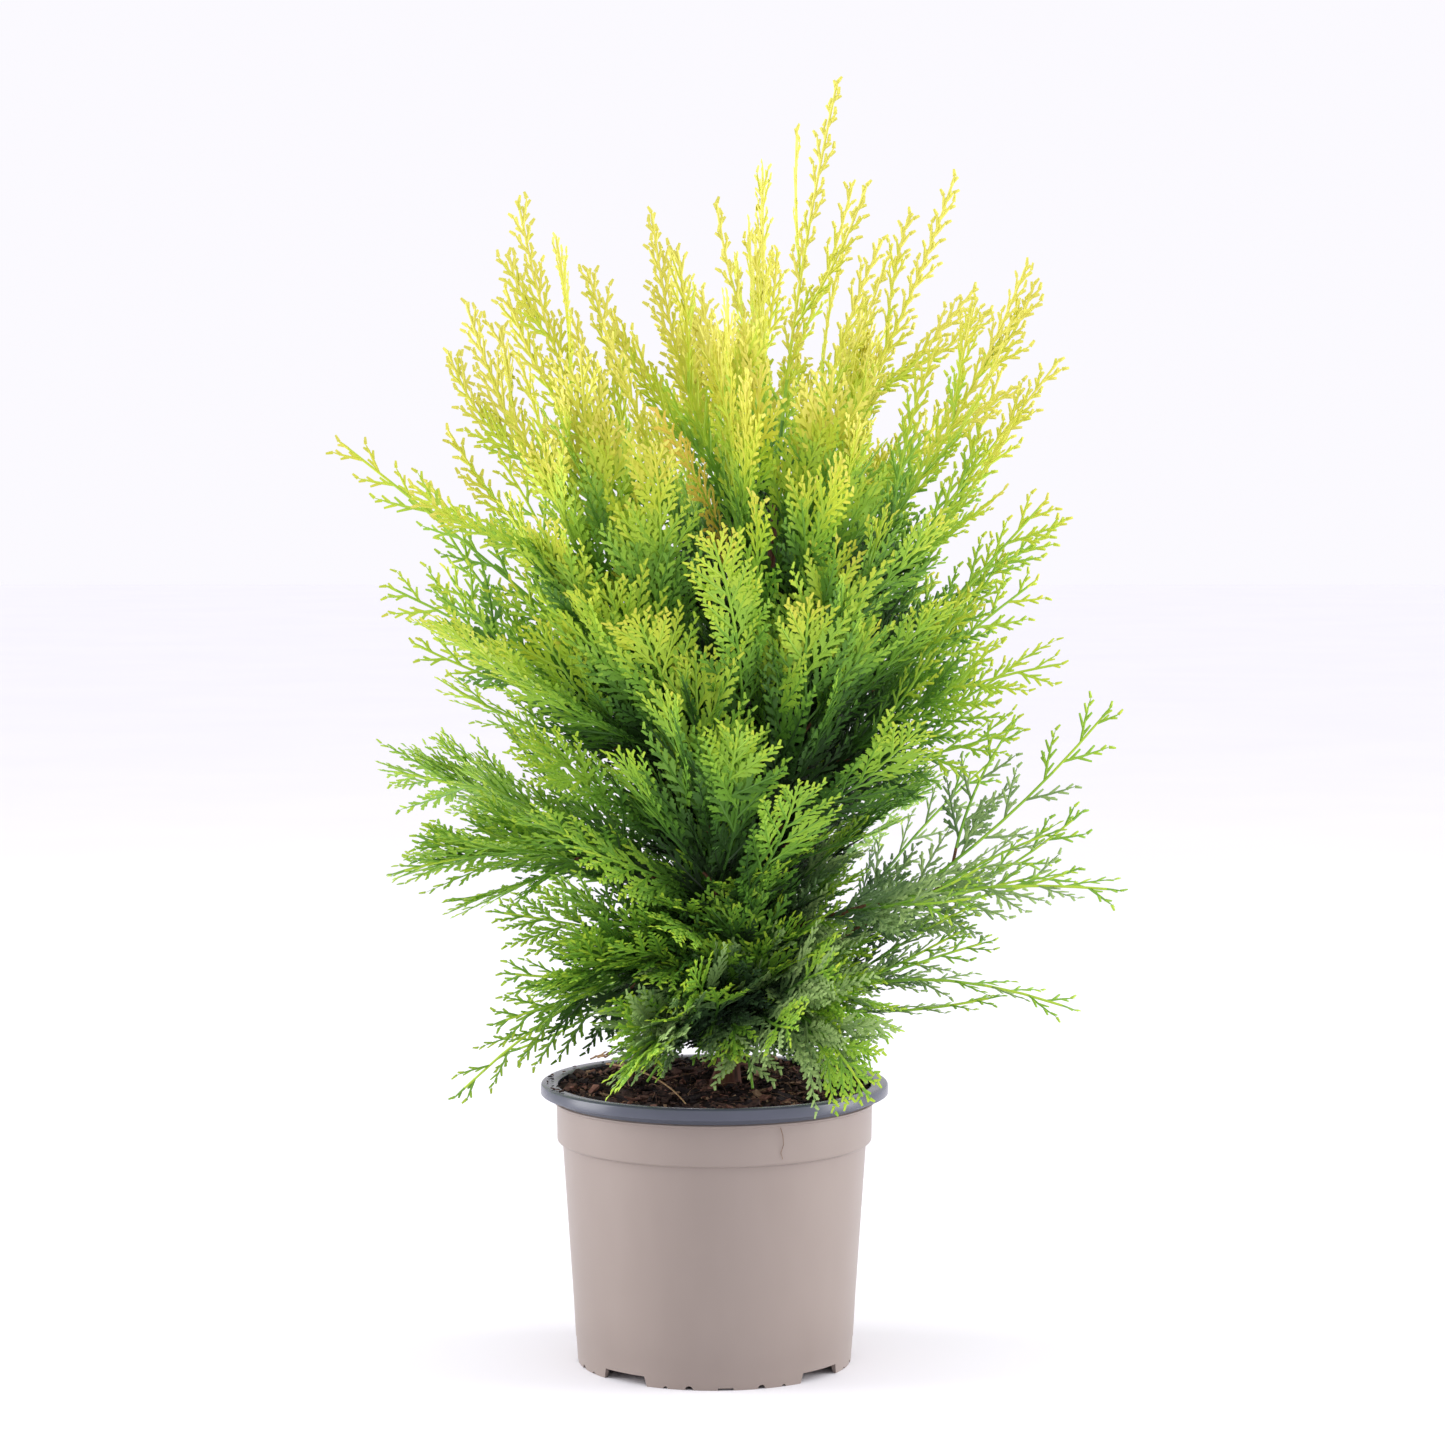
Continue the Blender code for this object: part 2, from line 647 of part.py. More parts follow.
class Mass:
    """One mass of foliage: its stem, side plumes and sprays, and what is left to place."""

    def __init__(self, plan, curve, seat):
        self.plan = plan
        self.rule = random.Random(f"{SEED}-mass-{plan['name']}")
        self.roll = math.radians(plan["roll"])
        if plan["bough"]:
            end = bend(curve, BOUGH_SHARE)
            rest = later_part(curve, BOUGH_SHARE)
            run = bend_run(curve, BOUGH_SHARE)
            self.curve = (end + run * GAP, rest[1], rest[2])
            seat = run
        else:
            self.curve = curve
        run = bend_run(self.curve, 0.0)
        stem = make_stem(
            self.curve, seat, STEM_R, STEM_TIP_R, STEM_RINGS, width_axis(run, self.roll)
        )
        self.shapes = [stem]
        self.boxes = [boxed(*stem)]
        self.plumes = [(self.curve, self.boxes[0])]

    def add_side_plumes(self, others):
        for k, place in enumerate(SIDE_PLACES[: self.plan["sides"]]):
            rule = random.Random(f"{SEED}-side-{self.plan['name']}-{k}")
            sign = 1.0 if (k + self.plan["turn"]) % 2 else -1.0
            for _ in range(TRIES):
                curve = side_curve(self.curve, place, sign, self.roll, rule)
                run = bend_run(curve, 0.0)
                across = width_axis(run, self.roll)
                shape = make_stem(curve, None, SIDE_STEM_R, STEM_TIP_R, 3, across)
                cut = later_part(curve, 0.08)
                test = make_stem(cut, None, STEM_R + CLEAR, STEM_TIP_R + CLEAR, 3, across)
                if not touches(boxed(*test), others):
                    box = boxed(*shape)
                    self.shapes.append(shape)
                    self.boxes.append(box)
                    self.plumes.append((curve, box))
                    break
                sign = -sign

    def spray_places(self):
        """Where sprays leave each plume: its tip first, then alternately down to its foot."""
        places = []
        for index, (curve, own) in enumerate(self.plumes):
            longest = self.plan["spray"] * (1.0 if index == 0 else 0.8)
            places.append((curve, own, 1.0, 0.0, longest))
            first = FIRST_SPRAY if index == 0 else 0.34
            count = self.plan["sprays"] if index == 0 else SIDE_SPRAYS
            step = (LAST_SPRAY - first) / max(1, count - 1)
            flip = 1.0 if self.rule.random() < 0.5 else -1.0
            for k in range(count):
                share = LAST_SPRAY - k * step if count > 1 else first
                places.append((curve, own, share, flip, longest))
                flip = -flip
        return places

    def try_spray(self, place, others):
        curve, own, share, sign, longest = place
        stem_r = STEM_TIP_R + (SIDE_STEM_R - STEM_TIP_R) * max(0.0, 1.0 - share)
        terminal = share == 1.0
        root = bend(curve, TERMINAL_ROOT if terminal else share)
        run = bend_run(curve, TERMINAL_ROOT if terminal else share)
        around = [box for box in self.boxes if box is not own]
        for attempt in range(TRIES):
            across = width_axis(run, self.roll)
            shrink = 1.0 - 0.09 * attempt
            if terminal:
                length = (curve[2] - root).length * shrink
                spray_run = (curve[2] - root).normalized()
            else:
                length = spray_length(share, longest) * shrink
                length *= self.rule.uniform(0.92, 1.08)
                turn = SPRAY_ANGLE * self.rule.uniform(0.85, 1.15)
                spray_run = math.cos(turn) * run + math.sin(turn) * sign * across
            tilt = Matrix.Rotation(self.rule.uniform(-SPRAY_TILT, SPRAY_TILT), 3, run)
            spray_run = (tilt @ spray_run).normalized()
            normal = run.cross(tilt @ across).normalized()
            normal = (normal - spray_run * normal.dot(spray_run)).normalized()
            teeth = 3 if length > LONG_SPRAY else 2
            wide = TERMINAL_WIDTH if terminal else self.plan["wide"]
            width = wide * length + SPRAY_WIDTH_ADD
            sizes = (root, spray_run, normal, length, width, teeth, ROOT_SINK * stem_r)
            test = spray_shape(*sizes, extra=CLEAR, skip=0.004)
            if not touches(boxed(*test[:2]), others + around):
                shape = spray_shape(*sizes)
                self.shapes.append(shape)
                self.boxes.append(boxed(*shape))
                return

    def join(self, material):
        name = "foliage_" + self.plan["name"].replace(".", "_")
        objects = [make_object(f"{name}_{k}", *shape) for k, shape in enumerate(self.shapes)]
        stem = objects[0]
        stem.name = name
        stem.data.name = name
        combine(stem, objects[1:], "UNION", "EXACT")
        keep_main_shell(stem.data)
        stem.data.materials.clear()
        stem.data.materials.append(material)
        return stem


def keep_main_shell(mesh):
    """Drop loose scraps and sealed hollows: only the largest closed shell stays."""
    work = bmesh.new()
    work.from_mesh(mesh)
    seen = set()
    shells = []
    for start in work.faces:
        if start.index in seen:
            continue
        shell = [start]
        seen.add(start.index)
        for face in shell:
            for other in (f for edge in face.edges for f in edge.link_faces):
                if other.index not in seen:
                    seen.add(other.index)
                    shell.append(other)
        shells.append(shell)
    shells.sort(key=len, reverse=True)
    loose = [face for shell in shells[1:] for face in shell]
    bmesh.ops.delete(work, geom=loose, context="FACES")
    work.to_mesh(mesh)
    work.free()


def mesh_shape(obj):
    verts = [v.co.copy() for v in obj.data.vertices]
    faces = [tuple(p.vertices) for p in obj.data.polygons]
    return verts, faces


def main():
    clear_scene()
    fixed = [boxed(*mesh_shape(make_pot())), boxed(*mesh_shape(make_soil()))]
    fixed.append(boxed(*mesh_shape(make_trunk())))
    bark = make_material("bough_bark", (124, 84, 58), 0.8)
    greens = {
        tier: make_material("foliage_" + tier, sizes["colour"], 0.6)
        for tier, sizes in TIERS.items()
    }
    masses = []
    for plan in mass_plan():
        curve, seat = limb_curve(plan)
        if plan["bough"]:
            bough_curve = curve
            _, shape = make_bough(plan, bough_curve, seat, bark)
            fixed.append(boxed(*shape))
        masses.append(Mass(plan, curve, seat))
    for mass in masses:
        others = fixed + [box for other in masses if other is not mass for box in other.boxes]
        mass.add_side_plumes(others)
    queues = [mass.spray_places() for mass in masses]
    for turn in range(max(len(queue) for queue in queues)):
        for mass, queue in zip(masses, queues):
            if turn < len(queue):
                others = fixed + [
                    box for other in masses if other is not mass for box in other.boxes
                ]
                mass.try_spray(queue[turn], others)
    for mass in masses:
        mass.join(greens[mass.plan["tier"]])


main()
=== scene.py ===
"""Looks of a young golden-tipped Lawson cypress in a round nursery pot.

The plant grows by the same seeded rule as its solids: trunk, boughs, masses with side plumes
and alternate sprays. Here each spray is carried on to its finest scale-leaved branchlets.
"""

import random
from math import cos, exp, hypot, pi, radians, sin, sqrt, tau

import bpy
import numpy as np
from mathutils import Matrix, Vector, noise


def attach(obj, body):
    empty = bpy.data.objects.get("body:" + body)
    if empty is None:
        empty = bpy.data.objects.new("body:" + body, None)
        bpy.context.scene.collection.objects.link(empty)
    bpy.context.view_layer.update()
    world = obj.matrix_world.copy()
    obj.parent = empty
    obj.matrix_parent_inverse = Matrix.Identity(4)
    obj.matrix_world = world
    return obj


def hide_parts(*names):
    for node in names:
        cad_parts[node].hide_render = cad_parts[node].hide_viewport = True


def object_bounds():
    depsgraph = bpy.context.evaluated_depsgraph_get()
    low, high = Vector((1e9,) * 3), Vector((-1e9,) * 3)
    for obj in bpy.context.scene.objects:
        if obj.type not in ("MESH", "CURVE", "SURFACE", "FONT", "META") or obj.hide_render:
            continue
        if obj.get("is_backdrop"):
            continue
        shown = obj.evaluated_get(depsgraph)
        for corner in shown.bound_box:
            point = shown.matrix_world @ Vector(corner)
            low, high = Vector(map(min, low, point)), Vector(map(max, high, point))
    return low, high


SEED = 4185
GAP = 0.0003
TENTH = 0.0001
SMOOTH_ANGLE = radians(32.0)
UP = Vector((0.0, 0.0, 1.0))
ACROSS = Vector((0.31, 0.95, 0.05))

# Pot, with the angle and radius of its foot's notches, and the places up its taper with the
# step of a faint line, in tenths of a millimetre
POT_SIDES = 192
POT_WALL = 0.0013
FOOT_R = 0.0750
SHOULDER_R = 0.0831
SHOULDER_Z = 0.1210
COLLAR_R = 0.0863
COLLAR_FOOT_Z = 0.1225
COLLAR_Z = 0.1430
NECK_R = 0.0868
FLANGE_R = 0.0950
FLANGE_Z = 0.1540
FLANGE_THICK = 0.0015
LIP_Z = 0.1480
LIP_THICK = 0.0012
PAD_R = 0.0460
CHANNEL_IN_R = 0.0500
CHANNEL_OUT_R = 0.0715
CHANNEL_Z = 0.0060
FOOT_TURN = radians(4.7)
QUADRANTS = 4
ARCH_HALF_ANGLE = radians(12.0)
ARCH_HEIGHT = 0.0055
ARCH_SLOPE = 0.0018
NOTCHES = ((radians(15.0), 0.0022), (radians(25.0), 0.0013))
NOTCH_SIDES = 20
SLOT_HALF_ANGLE = radians(3.2)
SLOT_HEIGHT = 0.0012
CUT_DEPTH = 0.0045
CUT_INSET = 0.001
CUT_FROM_Z = -0.002
SLATE_FROM_Z = 0.02
RIM_EDGE = 0.0005
TAPER = ((0.112, 0), (0.118, 2.5), (0.3, 0), (0.6, 0), (0.9, 0), (0.985, 0))

# Growing medium: heaped, calm round the trunk, lower at its edge, with two sizes of lumps
SOIL_Z = 0.1500
SOIL_R = 0.0850
SOIL_SUNK = 0.004
PLUG_EASE = 0.0012
PLUG_SLACK = 0.0004
SOIL_SIDES = 120
SOIL_RINGS = 40
SOIL_HEAP = 0.0030
SOIL_TILT = 0.0024
HEAP_R = 0.063
SOIL_LUMPS = ((0.0026, 70.0, 0.0), (0.0013, 210.0, 3.0))
CALM_R = 0.008
CALM_FADE = 0.012
EDGE_R = 0.075
EDGE_FADE = 0.010
EDGE_DROP = 0.6

# Bark chips, small and big, and crumbs on the rim: azimuth, spread and number
CHIP_COUNT = 2600
CHIP_REACH = 0.985
STEM_CLEAR_R = 0.014
NEAR_STEM = 0.7
BIG_CHIP_EVERY = 9
CHIP_LENGTHS = ((0.0014, 0.0052), (0.006, 0.013))
CHIP_WIDTHS = (0.25, 0.60)
CHIP_THICKS = (0.14, 0.34)
CHIP_THICKEST = 0.0022
CHIP_LIFT = 0.0016
CHIP_LEANS = (0.32, 0.28)
CHIP_TAPER = 0.55
CHIP_COLOURS = {
    "chip_black": ((28, 22, 24), (54, 44, 44)),
    "chip_dark": ((48, 36, 34), (84, 64, 58)),
    "chip_brown": ((72, 50, 44), (112, 84, 74)),
    "chip_red_brown": ((96, 64, 54), (142, 104, 90)),
    "chip_tan": ((132, 104, 84), (178, 148, 122)),
}
CHIP_SHARES = (34, 26, 22, 13, 5)
CRUMBS = ((188, 7, 9), (38, 9, 12), (96, 26, 16), (140, 14, 6))
CRUMB_OUT = (0.0868, 0.0925)
CRUMB_LIFT = 0.0006
CRUMB_LENGTHS = (0.0012, 0.0038)

# Fibres, then strands laid one by one: start, middle, end, points, radius and material.
# The fibre on the pot has x, the share of its radius in front, and z.
FIBRE_COUNT = 150
FIBRE_OUT = 0.080
FIBRE_SPANS = (0.003, 0.012)
FIBRE_LIFTS = (0.0006, 0.0030)
FIBRE_RADII = (0.00012, 0.00030)
FIBRE_TAPER = 0.55
FIBRE_SIDES = 5
FIBRE_POINTS = 7
STRANDS = (
    ((-0.060, 0.030, 0.1585), (-0.034, -0.022, 0.1600), (-0.0150, -0.078, 0.1545), 24, 0.00062, 2),
    ((-0.044, 0.010, 0.1580), (-0.047, -0.006, 0.1570), (-0.046, -0.024, 0.1550), 10, 0.00040, 2),
    ((0.070, -0.058, 0.1556), (0.076, -0.054, 0.1575), (0.0815, -0.044, 0.1552), 8, 0.00028, 0),
)
CAUGHT_FIBRE = (
    (0.0350, 0.917, 0.1420), (0.0362, 0.913, 0.1380), (0.0366, 0.909, 0.1330),
    (0.0352, 0.906, 0.1285), (0.0362, 0.902, 0.1250),
)
CAUGHT_OUT = 0.0873
CAUGHT_R = 0.00022
SPRIG_FOOT = Vector((-0.070, 0.058, 0.1570))
SPRIG_SPRAYS = 9

# Trunk and limbs, with the length and seed of their bark's relief
TRUNK_X = 0.0060
TRUNK_LEAN = 0.088
TRUNK_TOP_Z = 0.470
TRUNK_WAVE = 0.0012
TRUNK_R = 0.0056
TRUNK_TIP_R = 0.0015
TRUNK_BARK = (0.32, 3.7)
TRUNK_SUNK = 0.004
TRUNK_RINGS = 150
TRUNK_SIDES = 40
FLARE_R = 0.0044
FLARE_HEIGHT = 0.011
BOUGH_ROOT_R = 0.0026
BOUGH_TIP_R = 0.0015
BOUGH_SHARE = 0.20
BOUGH_RINGS = 24
BOUGH_SIDES = 14
BOUGH_BARK = (0.06, 5.1)
BOUGH_SUNK = 0.0015
BOUGH_COLLAR = (1.30, 1.14)
STEM_R = 0.0015
STEM_TIP_R = 0.0007
SIDE_STEM_R = 0.0011
STEM_RINGS = 11
STEM_SIDES = 6
STEM_END = 0.985

# Side plumes, as shares of the stem they leave: those of the solids, then finer ones between.
# Sprays of a plume: their size against the mass's, and place of the first.
SIDE_PLACES = (0.05, 0.22, 0.42)
FINER_PLACES = (0.13, 0.32, 0.54, 0.66, 0.76, 0.18, 0.48)
MAIN_SPRAYS = (1.0, 0.05)
SIDE_SPRAYS = (0.8, 0.10)
SIDE_SHARE = 0.66
SIDE_ROLL = 0.5
SIDE_ANGLE = radians(38.0)
SIDE_LIFT = radians(50.0)
FINER_ANGLE = radians(23.0)

# Plumes close to the trunk: one along the foot of each limb, at shares of the limb, and two
# beside it, by turn from the limb, how much lower they start, size of sprays and first place
INNER_SHARES = (0.03, 0.14, 0.28)
INNER_SPRAYS = (0.75, 0.05)
INNER_ROLL = 0.9
CLOSE_PLUMES = ((27.0, 0.0, 0.70, 0.10), (-25.0, 0.030, 0.85, 0.10))
CLOSE_OUT = 0.022
CLOSE_UP = 0.012
CLOSE_ABOVE = 0.016
CLOSE_LOWEST = 0.186
CLOSE_ROLL = 0.3

# Sprays leave a plume, spraylets leave a spray and segments leave a spraylet, alternately.
# Spacings are shares of what they carry, so that each level repeats the one above it.
SPRAY_PITCH = 0.185
SPRAY_CLOSEST = 0.0036
SPRAY_TILT = radians(16.0)
SPRAY_TIP = 0.0070
SPRAY_MIN = 0.005
SPRAYS_END = 0.965
LAST_SPRAY = (0.985, 0.010)
EVEN_FROM = 0.85
SPRAY_CURL = 0.14
RIM_CLEARANCE = 0.004
RIB_SHARE = 0.87
TWIG_PITCH = 0.070
TWIG_PITCHES = (0.0024, 0.0038)
TWIG_PLACES = (0.06, 0.97)
TWIG_ANGLE = radians(31.0)
TWIG_SHARE = 0.30
TWIG_MIN = 0.0040
TWIG_MAX = 0.0136
BARE_TWIG = 0.0052
SEGMENT_PITCH = 0.00172
SEGMENT_PLACES = (0.06, 0.80)
SEGMENT_ANGLE = radians(24.0)
SEGMENT_MAX = 0.0046
SEGMENT_HALF = 0.00094
SEGMENT_RIDGE = 0.76
SEGMENT_TIP = 0.58

# By tier: angle of the sprays, their length against the solids' sprays, their spacing against
# the usual one, how many finer plumes and how much these rise, the branchlets' width against
# the usual one and how far apart they stand (lace), the height below which the sprays are
# grey-green, how far the close plumes rise and reach, and the shortest and longest sprays
HABIT = ("angle", "share", "apart", "finer", "lift", "fine", "lace", "cool", "rise", "near",
         "shortest", "longest")
HABITS = {
    "skirt": (36, 0.88, 0.88, 5, 0.0, 1.02, 1.00, 0.235, -0.010, 0.060, 0.90, 1.08),
    "hanging": (36, 0.90, 0.84, 6, 0.30, 1.02, 0.98, 0.215, 0.050, 0.056, 0.90, 1.08),
    "low": (35, 0.84, 0.84, 6, 0.25, 1.02, 1.00, 0.220, 0.050, 0.064, 0.90, 1.08),
    "middle": (34, 0.80, 0.86, 7, 0.40, 1.02, 1.02, 0.0, 0.050, 0.064, 0.80, 1.15),
    "upper": (30, 0.66, 0.94, 7, 0.45, 1.05, 1.15, 0.0, 0.070, 0.042, 0.66, 1.25),
    "high": (25, 0.39, 1.20, 7, 0.40, 1.22, 1.55, 0.0, 0.095, 0.042, 0.45, 1.60),
    "leader": (24, 0.37, 1.50, 3, 0.0, 1.24, 1.65, 0.0, 0.050, 0.042, 0.45, 1.60),
}

# Masses that differ from their tier: sprays and plumes of their outer ends, how much lighter
# they are painted (painted light for masses the lamps leave too dark, painted shade below zero),
# height of the grey-green, and reach, rise and roll of their close plumes
OPEN = ("apart", "share", "finer", "lace", "light", "cool", "near", "rise", "spread")
OPENNESS = {
    "skirt.0": (2.00, 0.46, 2, 1.65, 0.08, 0.30),
    "skirt.3": (1.60, 0.64, 3, 1.45, None, 0.18),
    "skirt.4": (None, None, 7, None, 0.08),
    "skirt.5": (None, 0.84, 4, None, 0.24, 0.30),
    "hanging.0": (None, None, 7, None, 0.10),
    "hanging.1": (None, None, None, None, 0.06),
    "hanging.2": (None, 0.62, 3, None, 0.24, 0.30),
    "hanging.4": (None, None, None, None, -0.04),
    "hanging.5": (1.00, None, 7, 1.15, 0.06, 0.16),
    "low.0": (2.40, 0.50, 1, 1.75, 0.10, 0.34),
    "low.3": (0.95, None, None, 1.25, 0.13, 0.0),
    "low.4": (0.95, None, 7, 1.25, 0.11, 0.0, 0.132, 0.045, -0.9),
    "low.6": (2.40, 0.48, 1, 1.75, 0.13, 0.30),
    "middle.0": (1.70, 0.54, 3, 1.60, 0.05),
    "middle.3": (1.50, 0.60, 4, 1.45, None, None, 0.138, 0.068, -0.9),
    "middle.5": (None, None, None, None, 0.08),
    "middle.6": (1.70, 0.54, 3, 1.55, 0.08),
    "upper.0": (1.60, 0.52, 3, 1.55),
    "upper.3": (2.20, 0.42, 1, 1.70),
    "high.0": (1.60, 0.31, 4),
    "high.1": (1.05, 0.50),
    "high.2": (1.05, 0.50),
    "high.3": (None, 0.32, 5),
    "high.4": (None, 0.32, 6),
    "high.5": (1.05, 0.50),
    "high.6": (1.45, 0.32, 5),
    "leader.0": (1.80, 0.28),
    "leader.1": (1.40, 0.34),
    "leader.2": (1.25, 0.46),
    "leader.3": (1.30, 0.42),
}
AIRY_PLACES = (0.10, 0.36)

# By tier: number of masses, azimuth of the first, heights of their roots and of their tips,
# reach, angle above level at which they leave the trunk, roll either way, whether they have a
# bough, and length of the solids' sprays
TIER = ("count", "first", "root", "tip", "reach", "leave", "roll", "bough", "spray")
TIERS = {
    "skirt": (6, 5, (0.172, 0.196), (0.172, 0.205), 0.172, 42, 30, False, 0.064),
    "hanging": (6, 244, (0.202, 0.236), (0.168, 0.184), 0.094, 4, 14, False, 0.064),
    "low": (7, 0, (0.204, 0.240), (0.272, 0.325), 0.180, 50, 35, True, 0.076),
    "middle": (7, 25, (0.246, 0.290), (0.370, 0.425), 0.165, 60, 35, True, 0.080),
    "upper": (6, 0, (0.286, 0.332), (0.480, 0.520), 0.146, 50, 45, False, 0.078),
    "high": (7, 10, (0.342, 0.400), (0.570, 0.612), 0.125, 44, 60, False, 0.068),
    "leader": (4, 350, (0.410, 0.462), (0.622, 0.694), 0.062, 58, 85, False, 0.054),
}

# Masses that differ from their tier, as far as they do
ACCENT = ("azimuth", "reach", "tip", "roll", "leave", "root", "spray")
ACCENTS = {
    "skirt.0": (-4, 0.184, 0.196, 25),
    "skirt.1": (68, 0.150),
    "skirt.2": (124, 0.150),
    "skirt.3": (183, 0.150, 0.148, 60, 58),
    "skirt.4": (243, 0.120, 0.172, 40),
    "skirt.5": (305, 0.120, 0.164, 62, 40, None, 0.080),
    "hanging.0": (229, 0.074, 0.176, 8, 14, 0.236),
    "hanging.1": (273, 0.050, 0.262, 4, 44, 0.180),
    "hanging.2": (322, 0.096, 0.190, None, 20, 0.206),
    "hanging.3": (84, None, None, None, None, 0.210),
    "hanging.4": (262, 0.046, 0.172, 16, 20, 0.206),
    "hanging.5": (212, 0.122, 0.214, 30, 20, 0.214),
    "low.0": (8, 0.206, 0.354, 70, 22),
    "low.3": (160, 0.208, 0.318, 40),
    "low.4": (200, 0.192, 0.276, 30),
    "low.5": (256, 0.092, 0.392, 6, 42),
    "low.6": (-26, 0.216, 0.270, 35, 26),
    "middle.0": (18, 0.170, 0.424, 75),
    "middle.3": (182, 0.190, 0.424, 60),
    "middle.4": (220, 0.138, 0.458, 10, 42),
    "middle.5": (297, 0.106, 0.448, -10, 46),
    "middle.6": (-24, 0.178, 0.386, 60),
    "upper.0": (2, 0.162, 0.470, 80),
    "upper.2": (103, None, None, None, None, 0.308),
    "upper.3": (178, 0.222, 0.502, 80, 44),
    "upper.4": (226, 0.124, 0.548, 14, 40),
    "upper.5": (294, 0.102, 0.536, -10, 44),
    "high.0": (6, 0.164, 0.546, 80, 50),
    "high.3": (170, 0.164, 0.578, 80, 30),
    "high.4": (210, 0.150, 0.628, 75, 34),
    "high.6": (-30, 0.156, 0.594, 70, 42),
    "leader.0": (-16, 0.034, 0.694, 85),
    "leader.1": (18, 0.104, 0.646, 80, 52),
    "leader.2": (95, 0.052, 0.652, 60),
    "leader.3": (205, 0.070, 0.622, 70),
}

# Foliage colours: green, from shade to gold, the blue-green of the low sprays, and amber
GREENS = (
    (26, 44, 20), (42, 72, 27), (61, 101, 33), (86, 131, 41), (115, 162, 50),
    (146, 187, 57), (172, 202, 58), (194, 210, 60), (208, 209, 70), (219, 213, 92),
)
BLUES = ((36, 55, 37), (62, 91, 54), (94, 125, 73), (125, 154, 92), (157, 185, 112))
AMBER = (228, 200, 84)
AMBER_PLUMES = {"high.4": 1}
AMBER_FROM = 0.3

# Tone of a spray, from 0 in shade to 1 in gold: by height, darker in the crown's middle as painted
# shade, lighter far out and along its plume (gold towards the tips, painted shade at the root),
# with a cap
TONE_HEIGHTS = (0.16, 0.24, 0.32, 0.37, 0.43, 0.49, 0.55, 0.62, 0.70)
TONE_VALUES = (0.62, 0.61, 0.56, 0.60, 0.53, 0.84, 0.97, 1.00, 1.02)
CROWN_RADII = (0.095, 0.100, 0.105, 0.105, 0.102, 0.095, 0.078, 0.050, 0.020)
SHADE_DEPTH = 0.56
SHADE_FADE = (0.43, 0.55)
OUTER_REACH = 0.105
OUTER_TOP = 0.40
OUTER_GAIN = 0.9
SLOPE_HEIGHTS = (0.42, 0.54)
TONE_SLOPES = (0.58, 0.20)
SLOPE_MIDDLE = 0.55
CAP_HEIGHTS = (0.31, 0.51)
TONE_CAPS = (0.57, 1.05)
TONE_NOISE = 0.03
STEM_SHADE = -0.08
STEM_SLOPE = 0.30

# Studio
BACKDROP = (0.970, 0.955, 1.0, 1.0)
FLOOR_HALF = 12.0
BOX_OUT = 2.1
BOX_Z = 0.8
BOX_SIZE = (1.2, 1.6)
BOX_ENERGY = 34.0
BOX_TARGET = Vector((0.0, 0.0, 0.30))
SUN_ENERGY = 0.5
SUN_ANGLE = radians(70.0)
SUN_TILT = radians(18.0)
CAMERA_LENS = 96.4
CAMERA_PLACE = Vector((0.0044, -2.10, 0.50))
CAMERA_TARGET = Vector((0.0044, 0.0, 0.3506))


# Materials


def linear(value):
    share = value / 255.0
    if share <= 0.04045:
        return share / 12.92
    return ((share + 0.055) / 1.055) ** 2.4


def rgba(colour):
    return (*[linear(c) for c in colour], 1.0)


def base_material(name, colour, roughness, specular=0.5):
    material = bpy.data.materials.new(name)
    material.use_nodes = True
    shader = material.node_tree.nodes["Principled BSDF"]
    shader.inputs["Base Color"].default_value = rgba(colour)
    shader.inputs["Roughness"].default_value = roughness
    shader.inputs["Specular IOR Level"].default_value = specular
    return material, shader


def node(material, kind, **sockets):
    made = material.node_tree.nodes.new(kind)
    for name, value in sockets.items():
        made.inputs[name.replace("_", " ")].default_value = value
    return made


def link(out_socket, in_socket):
    out_socket.id_data.links.new(out_socket, in_socket)


def object_noise(material, scale, detail=4.0, roughness=0.55, stretch=(1.0, 1.0, 1.0)):
    place = node(material, "ShaderNodeTexCoord")
    spread = node(material, "ShaderNodeMapping")
    spread.inputs["Scale"].default_value = stretch
    cloud = node(material, "ShaderNodeTexNoise", Scale=scale, Detail=detail, Roughness=roughness)
    link(place.outputs["Object"], spread.inputs["Vector"])
    link(spread.outputs["Vector"], cloud.inputs["Vector"])
    return cloud


def add_bump(material, shader, source, distance, strength=1.0):
    bump = node(material, "ShaderNodeBump", Strength=strength, Distance=distance)
    link(source.outputs["Fac"], bump.inputs["Height"])
    link(bump.outputs["Normal"], shader.inputs["Normal"])


def tint(material, shader, source, *stops):
    """Colours the shader by a ramp over a source."""
    made = node(material, "ShaderNodeValToRGB")
    band = made.color_ramp
    while len(band.elements) < len(stops):
        band.elements.new(0.5)
    for element, (place, colour) in zip(band.elements, stops):
        element.position = place
        element.color = rgba(colour)
    link(source.outputs["Fac"], made.inputs["Fac"])
    link(made.outputs["Color"], shader.inputs["Base Color"])


def foliage_material(name, colour):
    material, shader = base_material(name, colour, 0.48, 0.35)
    add_bump(material, shader, object_noise(material, 900.0, detail=2.0), 0.0002, 0.5)
    return material


def bark_material(name, dark, middle, light, scale):
    material, shader = base_material(name, middle, 0.82, 0.25)
    fibre = object_noise(material, scale, detail=6.0, stretch=(1.0, 1.0, 0.16))
    tint(material, shader, fibre, (0.30, dark), (0.50, middle), (0.72, light))
    add_bump(material, shader, fibre, 0.0006, 0.7)
    return material


def pot_material(name, colour, shade, roughness, grain):
    material, shader = base_material(name, colour, roughness, 0.45)
    flow = object_noise(material, 16.0, detail=3.0, stretch=(1.0, 1.0, 0.35))
    tint(material, shader, flow, (0.35, shade), (0.65, colour))
    add_bump(material, shader, object_noise(material, 1500.0, detail=2.0), grain, 0.35)
    return material


def earth_material(name, dark, light, roughness=0.95):
    material, shader = base_material(name, dark, roughness, 0.2)
    cloud = object_noise(material, 420.0, detail=5.0)
    tint(material, shader, cloud, (0.38, dark), (0.68, light))
    add_bump(material, shader, cloud, 0.0008, 0.8)
    return material


# Meshes


